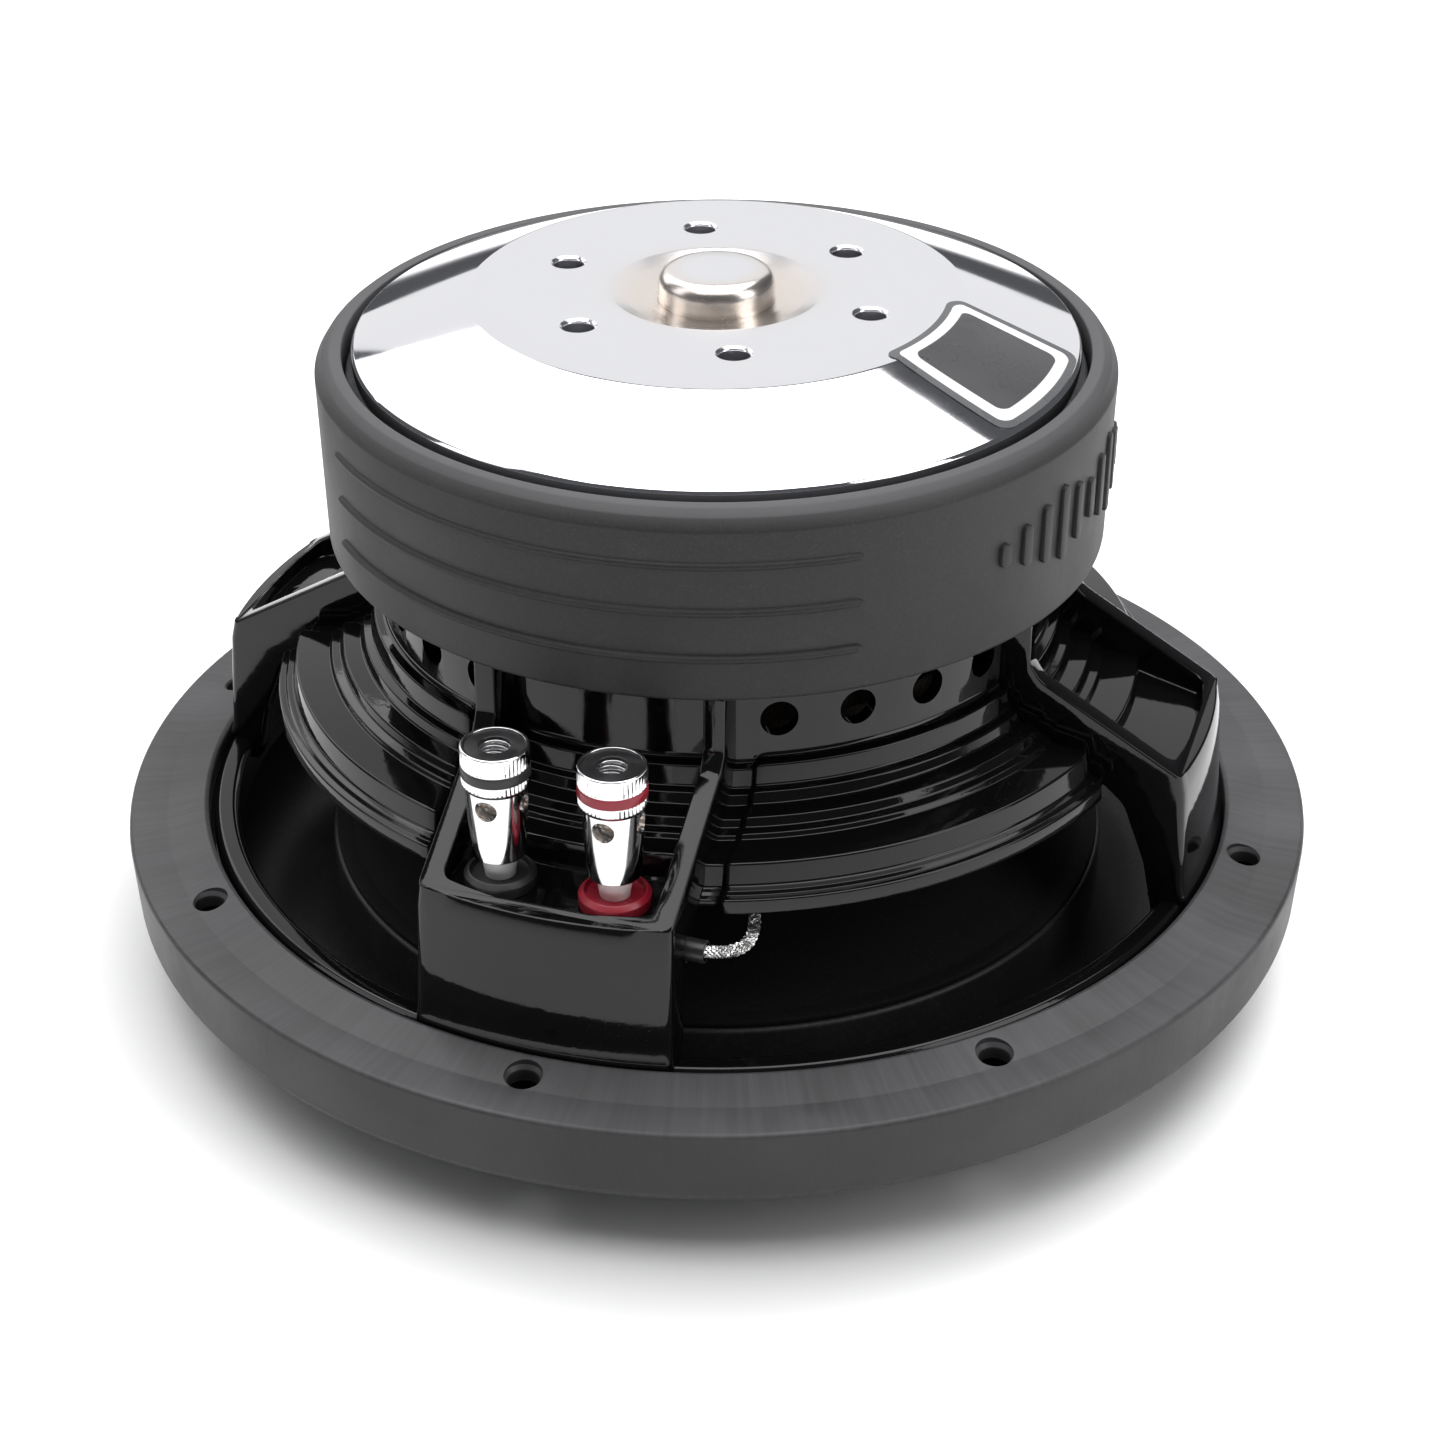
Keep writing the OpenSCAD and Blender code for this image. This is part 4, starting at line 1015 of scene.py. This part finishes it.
def label_piece():
    bpy.ops.object.select_all(action="DESELECT")
    bpy.ops.mesh.primitive_grid_add(x_subdivisions=32, y_subdivisions=40, size=1)
    sheet = bpy.context.object
    sheet.name = sheet.data.name = "label_film_cut"
    sheet.data.transform(Matrix.Diagonal((LABEL_WIDE * MM, LABEL_LONG * MM, 1, 1)))
    with Editing(sheet):
        bpy.ops.mesh.extrude_region_move(TRANSFORM_OT_translate={"value": (0, 0, LABEL_THICK * MM)})
    mended(sheet)
    x, y = LABEL_WIDE / 2 - 0.02, LABEL_LONG / 2 - 0.02
    die = extruded("die", [(*p, LABEL_CORNER) for p in ((-x, -y), (x, -y), (x, y), (-x, y))], -1, 1)
    combined(sheet, die, "INTERSECT")
    uv = (sheet.data.uv_layers.active or sheet.data.uv_layers.new(name="UVMap")).data
    for loop in sheet.data.loops:
        flat = sheet.data.vertices[loop.vertex_index].co / MM
        uv[loop.index].uv = (flat[0] / LABEL_WIDE + 0.5, flat[1] / LABEL_LONG + 0.5)
    for vertex in sheet.data.vertices:
        across, along, up = vertex.co / MM
        u, v = across / LABEL_WIDE + 0.5, 0.5 - along / LABEL_LONG
        reach = LABEL_INNER + (LABEL_OUTER - LABEL_INNER) * v
        first = LABEL_INNER_EDGES[0] + (LABEL_OUTER_EDGES[0] - LABEL_INNER_EDGES[0]) * v
        last = LABEL_INNER_EDGES[1] + (LABEL_OUTER_EDGES[1] - LABEL_INNER_EDGES[1]) * v
        angle = radians(first + (last - first) * u)
        up += plate_top(reach) + LABEL_LIFT
        vertex.co = Vector((reach * cos(angle), reach * sin(angle), up)) * MM
    return mended(sheet, 1e-7)


placed(smooth(label_piece(), radians(40)), "frame", "label_film", "rating_label")

# %% [markdown]
# ## The push terminals
# Each terminal is a post with a spring-loaded sleeve. The wire hole in the sleeve meets the hole in
# the post when the sleeve is pushed down. The knurl on the sleeve's head is made by pushing in every
# second column of the turned mesh. Heights are counted from the deck that the post stands on.

# %% Post
THREAD_PITCH = 0.8


def thread(low, high, outer, inner):
    """Ridges of a screw thread along an outline, from low to high."""
    count = int(abs(high - low) / THREAD_PITCH)
    step = (high - low) / count
    ridge, groove = 0.15, 0.65
    return [p for k in range(count) for p in ((outer, low + step * (k + ridge)),
                                              (inner, low + step * (k + groove)))]


def cross_drilled(piece, radius, height):
    """Two holes through the axis, one along X and one along Y."""
    for axis in "XY":
        combined(piece, moved(moved(rod("drill", radius, -7, 7, 40), turn=90, axis=axis), (0, 0, height)))
    return piece


def post_piece():
    line = [(0, -10), (1.3, -10), *thread(-9.8, -3.4, 1.6, 1.35), (1.6, -3.2), (1.6, 1.6), (2.4, 1.6, 0.1),
            (2.95, 5.5, 0.1), (2.95, 6.1), (3.6, 6.1, 0.2), (3.6, 6.9, 0.2), (2.7, 6.9),
            *thread(7.2, 17.4, 2.7, 2.42), (2.7, 17.6), (2.7, 18, 0.25), (2.0, 18, 0.2), (2.0, 14.1),
            (1.8, 13.9), (1.8, 8), (0, 7.6)]
    return smooth(cross_drilled(turned("post", line, 64), 1.5, 12.4))


# %% Push sleeve, ring, cap and spring
KNURL_COLUMNS, KNURL_DEPTH, HEAD_RADIUS = 96, 0.2, 5.4
WIRE_HOLE, WIRE_HOLE_HEIGHT = 1.8, 15.6
SPRING_RADIUS, SPRING_WIRE, SPRING_TURNS, SPRING_LOW, SPRING_HIGH = 2.42, 0.225, 4.5, 18.24, 23.46


def sleeve_piece():
    line = [(3.05, 5.5, 0.1), (4.0, 5.5, 0.1), (4.3, 5.8, 0.15), (4.95, 18.0, 0.3), (5.25, 18.5, 0.1),
            (HEAD_RADIUS, 18.8), (HEAD_RADIUS, 19.85), (5.3, 20.0), (4.92, 20.0), (4.92, 21.85), (5.3, 21.85),
            (HEAD_RADIUS, 22.0), (HEAD_RADIUS, 24.2), (HEAD_RADIUS, 25.1, 0.35), (4.75, 25.1, 0.12),
            (4.75, 24.3), (2.3, 24.3, 0.1), (2.3, 23.7), (2.75, 23.7), (2.75, 10.4), (3.65, 10.4),
            (3.65, 6.0), (3.05, 6.0)]
    sleeve = turned("sleeve", line, KNURL_COLUMNS)
    for vertex in sleeve.data.vertices:
        x, y, z = vertex.co / MM
        column = round(atan2(y, x) / (2 * pi) * KNURL_COLUMNS)
        if column % 2 and sqrt(x * x + y * y) > HEAD_RADIUS - 0.01 and 18.7 < z < 24.4:
            vertex.co.xy *= 1 - KNURL_DEPTH / HEAD_RADIUS
    return smooth(cross_drilled(sleeve, WIRE_HOLE, WIRE_HOLE_HEIGHT), radians(28))


def spring_piece():
    wire = outline_ring("spring", [(SPRING_RADIUS + SPRING_WIRE * cos(pi * k / 4),
                                    SPRING_LOW + SPRING_WIRE * sin(pi * k / 4)) for k in range(8)])
    applied(wire, "SCREW", angle=2 * pi * SPRING_TURNS, screw_offset=(SPRING_HIGH - SPRING_LOW) * MM,
            steps=150, render_steps=150, axis="Z")
    with Editing(wire):
        bpy.ops.mesh.fill_holes(sides=8)
    return smooth(mended(wire), radians(60))


# %% What clamps a post to the deck
STUD_HOLE = 1.65


def insulator_piece():
    return turned("washer", [(1.65, -3.2), (3.4, -3.2, 0.2), (3.4, 0), (5.75, 0, 0.2), (5.75, 1.85, 0.2),
                             (5.05, 2.6, 0.5), (4.8, 2.6, 0.15), (4.6, 1.6, 0.2), (1.65, 1.6)], 96)


def solder_tab_piece():
    eye, half = 3.8, 1.6
    neck = degrees(asin(half / eye))
    tab = extruded("tab", [*arc((0, 0), eye, neck, 360 - neck, 40), (6.6, -half, 0.7), (6.6, half, 0.7)],
                   -5.3, -4.7)
    return bevelled(combined(tab, rod("drill", STUD_HOLE, -6, -4)), 0.1, 2)


def nut_piece():
    across_corners = 4.04
    nut = combined(rod("nut", across_corners, -8.3, -5.3, 6), rod("drill", STUD_HOLE, -9, -5))
    return bevelled(nut, 0.22, 3)


# %% One of each, copied to the two posts
TERMINAL_PARTS = [
    (post_piece(), "terminal_post", "post_nickel", "frame"),
    (insulator_piece(), "insulator", "{}_plastic", "frame"),
    (turned("lower", [(1.65, -4.7, 0.1), (5.2, -4.7, 0.3), (5.2, -3.2, 0.3), (1.65, -3.2, 0.1)], 64),
     "lower_insulator", "black_plastic", "frame"),
    (solder_tab_piece(), "solder_tab", "tab_brass", "frame"),
    (sleeve_piece(), "push_sleeve", "terminal_chrome", "push_terminal_{}"),
    (turned("band", [(4.95, 20.02), (5.45, 20.02, 0.2), (5.45, 21.83, 0.2), (4.95, 21.83)], 96),
     "sleeve_ring", "{}_plastic", "push_terminal_{}"),
    (turned("lid", [(2.45, 24.3), (4.7, 24.3), (4.7, 24.9, 0.12), (2.45, 24.9, 0.2)], 64),
     "sleeve_cap", "black_plastic", "push_terminal_{}"),
]
for master, node, finish, body in TERMINAL_PARTS:
    for colour in COLOURS:
        part = copied(master, f"{node}_{colour}_made")
        if node == "solder_tab" and colour == "black":
            moved(part, turn=180)
        moved(part, (SIDE[colour] * POST_X, POST_Y, DECK))
        placed(part, body.format(colour), finish.format(colour), f"{node}_{colour}")
    bpy.data.objects.remove(master)

nut = nut_piece()
nuts = joined("terminal_nuts_made", [moved(copied(nut, "nut"), (SIDE[colour] * POST_X, POST_Y, DECK))
                                     for colour in COLOURS])
bpy.data.objects.remove(nut)
placed(smooth(nuts), "frame", "plated_steel", "terminal_nuts")

# %% Return springs, which shorten as the sleeve comes down
spring = spring_piece()
for colour in COLOURS:
    x = SIDE[colour] * POST_X
    coil = moved(copied(spring, f"return_spring_{colour}_wound"), (x, POST_Y, DECK))
    placed(coil, None, "spring_steel", f"return_spring_{colour}")
    low, high = ((x * MM, POST_Y * MM, (DECK + end) * MM) for end in (SPRING_LOW, SPRING_HIGH))
    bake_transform(coil, "frame", f"push_terminal_{colour}", start=low, end=high)
bpy.data.objects.remove(spring)

# %% [markdown]
# ## The tinsel leads
# A tinsel lead is a braid of flat copper tinsel round a thread, so that it can flex millions of times.
# Its strands are drawn as curves that wind round the lead's route, half of them one way and half the
# other, each passing over and under. A curve with a bevel is given thickness and made a mesh.

# %% Route, strands and sleeves
LEAD_ROUTES = {
    "red": [(14.7, -79.2, 45), (18, -79.2, 45), (21.3, -79.2, 45), (24.6, -78.9, 45), (27.6, -76.6, 44.2),
            (28.9, -72.5, 43.4), (28.4, -67.6, 43.2), (26.4, -62.2, 43.8), (23.4, -56.4, 44.6),
            (19.6, -50, 44.4), (16.5, -45.6, 42.3), (15.5, -42.7, 38.6)],
    "black": [(-15.1, -79.4, 45), (-15.1, -76.2, 45), (-15.1, -73, 45), (-15.2, -69, 44.6),
              (-15.5, -64, 44.2), (-15.8, -58, 44.4), (-16.2, -51.4, 44.4), (-16.4, -45.6, 42.3),
              (-15.5, -42.7, 38.6)],
}
LEAD_SLEEVES = {"red": ((16.3, -79.2, 45), 8.0, 90, "Y"), "black": ((-15.1, -75.4, 45), 2.4, -90, "X")}
STRANDS_EACH_WAY, STRAND_RADIUS, BRAID_RADIUS, BRAID_WAVE, BRAID_PITCH = 8, 0.16, 0.82, 0.11, 6.0
FLEX_START, FLEX_END = -70.0, -43.0


def through(points, steps):
    """A smooth line through the points, by the Catmull-Rom rule."""
    points = [Vector(p) for p in points]
    points = [2 * points[0] - points[1], *points, 2 * points[-1] - points[-2]]
    line = []
    for a, b, c, d in zip(points, points[1:], points[2:], points[3:]):
        for k in range(steps):
            t = k / steps
            line.append(0.5 * (2 * b + (c - a) * t + (2 * a - 5 * b + 4 * c - d) * t ** 2
                               + (3 * b - a - 3 * c + d) * t ** 3))
    return line + [points[-2]]


def swept(name, lines, radius, sides):
    """One mesh of round wires, each along a list of points."""
    wires = bpy.data.curves.new(name, "CURVE")
    wires.dimensions, wires.bevel_depth, wires.bevel_resolution = "3D", radius * MM, sides
    wires.use_fill_caps = True
    for line in lines:
        spline = wires.splines.new("POLY")
        spline.points.add(len(line) - 1)
        for point, place in zip(spline.points, line):
            point.co = (*(place * MM), 1)
    piece = bpy.data.objects.new(name, wires)
    bpy.context.collection.objects.link(piece)
    only(piece)
    bpy.ops.object.convert(target="MESH")
    return smooth(mended(bpy.context.object, 1e-8), radians(60))


def braid_lines(route):
    """The strands round a route: each turns about it and rises over every second crossing."""
    line = through(route, 22)
    across = (line[1] - line[0]).orthogonal().normalized()
    strands = [[] for _ in range(2 * STRANDS_EACH_WAY)]
    run = 0.0
    for i, place in enumerate(line):
        ahead = (line[min(i + 1, len(line) - 1)] - line[max(i - 1, 0)]).normalized()
        across = (across - ahead * across.dot(ahead)).normalized()
        other = ahead.cross(across)
        run += (place - line[i - 1]).length if i else 0.0
        for k in range(2 * STRANDS_EACH_WAY):
            way = 1 if k < STRANDS_EACH_WAY else -1
            turn = way * 2 * pi * run / BRAID_PITCH + 2 * pi * k / STRANDS_EACH_WAY
            weave = sin(STRANDS_EACH_WAY * 2 * pi * run / BRAID_PITCH + pi * k)
            reach = BRAID_RADIUS + way * BRAID_WAVE * weave
            strands[k].append(place + (across * cos(turn) + other * sin(turn)) * reach)
    return line, strands


for colour in COLOURS:
    line, strands = braid_lines(LEAD_ROUTES[colour])
    core = swept(f"tinsel_core_{colour}", [line], BRAID_RADIUS - 0.15, 2)
    lead = swept(f"tinsel_lead_{colour}_braided", strands, STRAND_RADIUS, 0)
    for piece, finish in ((core, "black_plastic"), (lead, "tinsel_braid")):
        placed(piece, None, finish, f"tinsel_lead_{colour}")
        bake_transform(piece, "frame", "cone_assembly", start=(0, FLEX_START * MM, 0), end=(0, FLEX_END * MM, 0))
    start, length, turn, axis = LEAD_SLEEVES[colour]
    sleeve = turned(f"lead_sleeve_{colour}_cut", [(1.4, 0, 0.1), (1.85, 0, 0.2), (1.85, length, 0.25),
                                                  (1.4, length, 0.1)], 48)
    placed(moved(sleeve, start, turn, axis), "frame", "black_plastic", f"lead_sleeve_{colour}")

# %% [markdown]
# ## Camera, floor and light
# Gloss black and chrome show the room and hardly any colour of their own, so the lights are placed by
# what each surface mirrors: a large softbox overhead for the front of the bevel, a dim wide card behind
# for the flat of the chrome, and a pale floor for the upright walls. A dark gap between two softboxes
# gives chrome its black streaks.

# %% Camera
scene = bpy.context.scene
scene.view_settings.view_transform = "Standard"
CAMERA_PLACE, LOOK_ANGLE, LOOK_DOWN, LENS = (0.1376, -0.4185, 0.3000), 108.07, 30.84, 70.47


def aimed(name, data, place, direction):
    """A lamp or camera at a place, looking along a direction."""
    thing = bpy.data.objects.new(name, data)
    scene.collection.objects.link(thing)
    thing.location = place
    thing.rotation_euler = Vector(direction).to_track_quat("-Z", "Y").to_euler()
    return thing


def from_angles(azimuth, elevation):
    azimuth, elevation = radians(azimuth), radians(elevation)
    return Vector((cos(azimuth) * cos(elevation), sin(azimuth) * cos(elevation), sin(elevation)))


lens = bpy.data.cameras.new("camera")
lens.sensor_width, lens.lens = 36, LENS
scene.camera = aimed("camera", lens, CAMERA_PLACE, from_angles(LOOK_ANGLE, -LOOK_DOWN))

# %% Floor and world
FLOOR_SIZE, ROOM_COLOUR, ROOM_STRENGTH = 12, (0.92, 0.94, 1.0, 1), 0.10
bpy.ops.object.select_all(action="DESELECT")
bpy.ops.mesh.primitive_plane_add(size=FLOOR_SIZE)
floor = bpy.context.object
floor.name = "studio_floor"
paper = Finish("floor_paper", (0.9, 0.9, 0.9), 0.7)
mottle = paper.noise(paper.place(), 6, 2.0)
paper.feed(Base_Color=paper.blend(mottle, (0.89, 0.89, 0.895), (0.92, 0.92, 0.92)))
floor.data.materials.append(paper.material)
world = bpy.data.worlds.new("studio")
scene.world = world
world.use_nodes = True
room = world.node_tree.nodes["Background"]
room.inputs["Color"].default_value = ROOM_COLOUR
room.inputs["Strength"].default_value = ROOM_STRENGTH

# %% Softboxes
AIM = Vector((0, 0, 0.09))
SOFTBOXES = [  # name, azimuth, elevation, distance, width, height, radiance
    ("overhead", 108, 88, 1.28, 1.70, 1.70, 3.3),
    ("card_behind", 107, 26, 1.70, 1.75, 1.20, 0.85),
    ("back_left", 152, 34, 1.55, 0.80, 1.20, 1.6),
    ("right", -8, 26, 1.50, 0.70, 1.10, 2.6),
    ("left", 205, 30, 1.60, 0.60, 1.20, 1.6),
]
for name, azimuth, elevation, distance, width, height, radiance in SOFTBOXES:
    box = bpy.data.lights.new(name, "AREA")
    box.shape, box.size, box.size_y = "RECTANGLE", width, height
    box.energy = radiance * pi * width * height
    place = AIM + from_angles(azimuth, elevation) * distance
    aimed(name, box, place, AIM - place).visible_camera = False
print("softboxes:", len(SOFTBOXES))

# %% A lamp for the paper behind, which no surface mirrors
WASH_PLACE, WASH_SIZE, WASH_POWER = (0.40, 0.95, 1.0), 0.8, 16
wash = bpy.data.lights.new("paper_wash", "AREA")
wash.size, wash.energy = WASH_SIZE, WASH_POWER
wash_lamp = aimed("paper_wash", wash, WASH_PLACE, (0, 0, -1))
wash_lamp.visible_camera = wash_lamp.visible_glossy = False
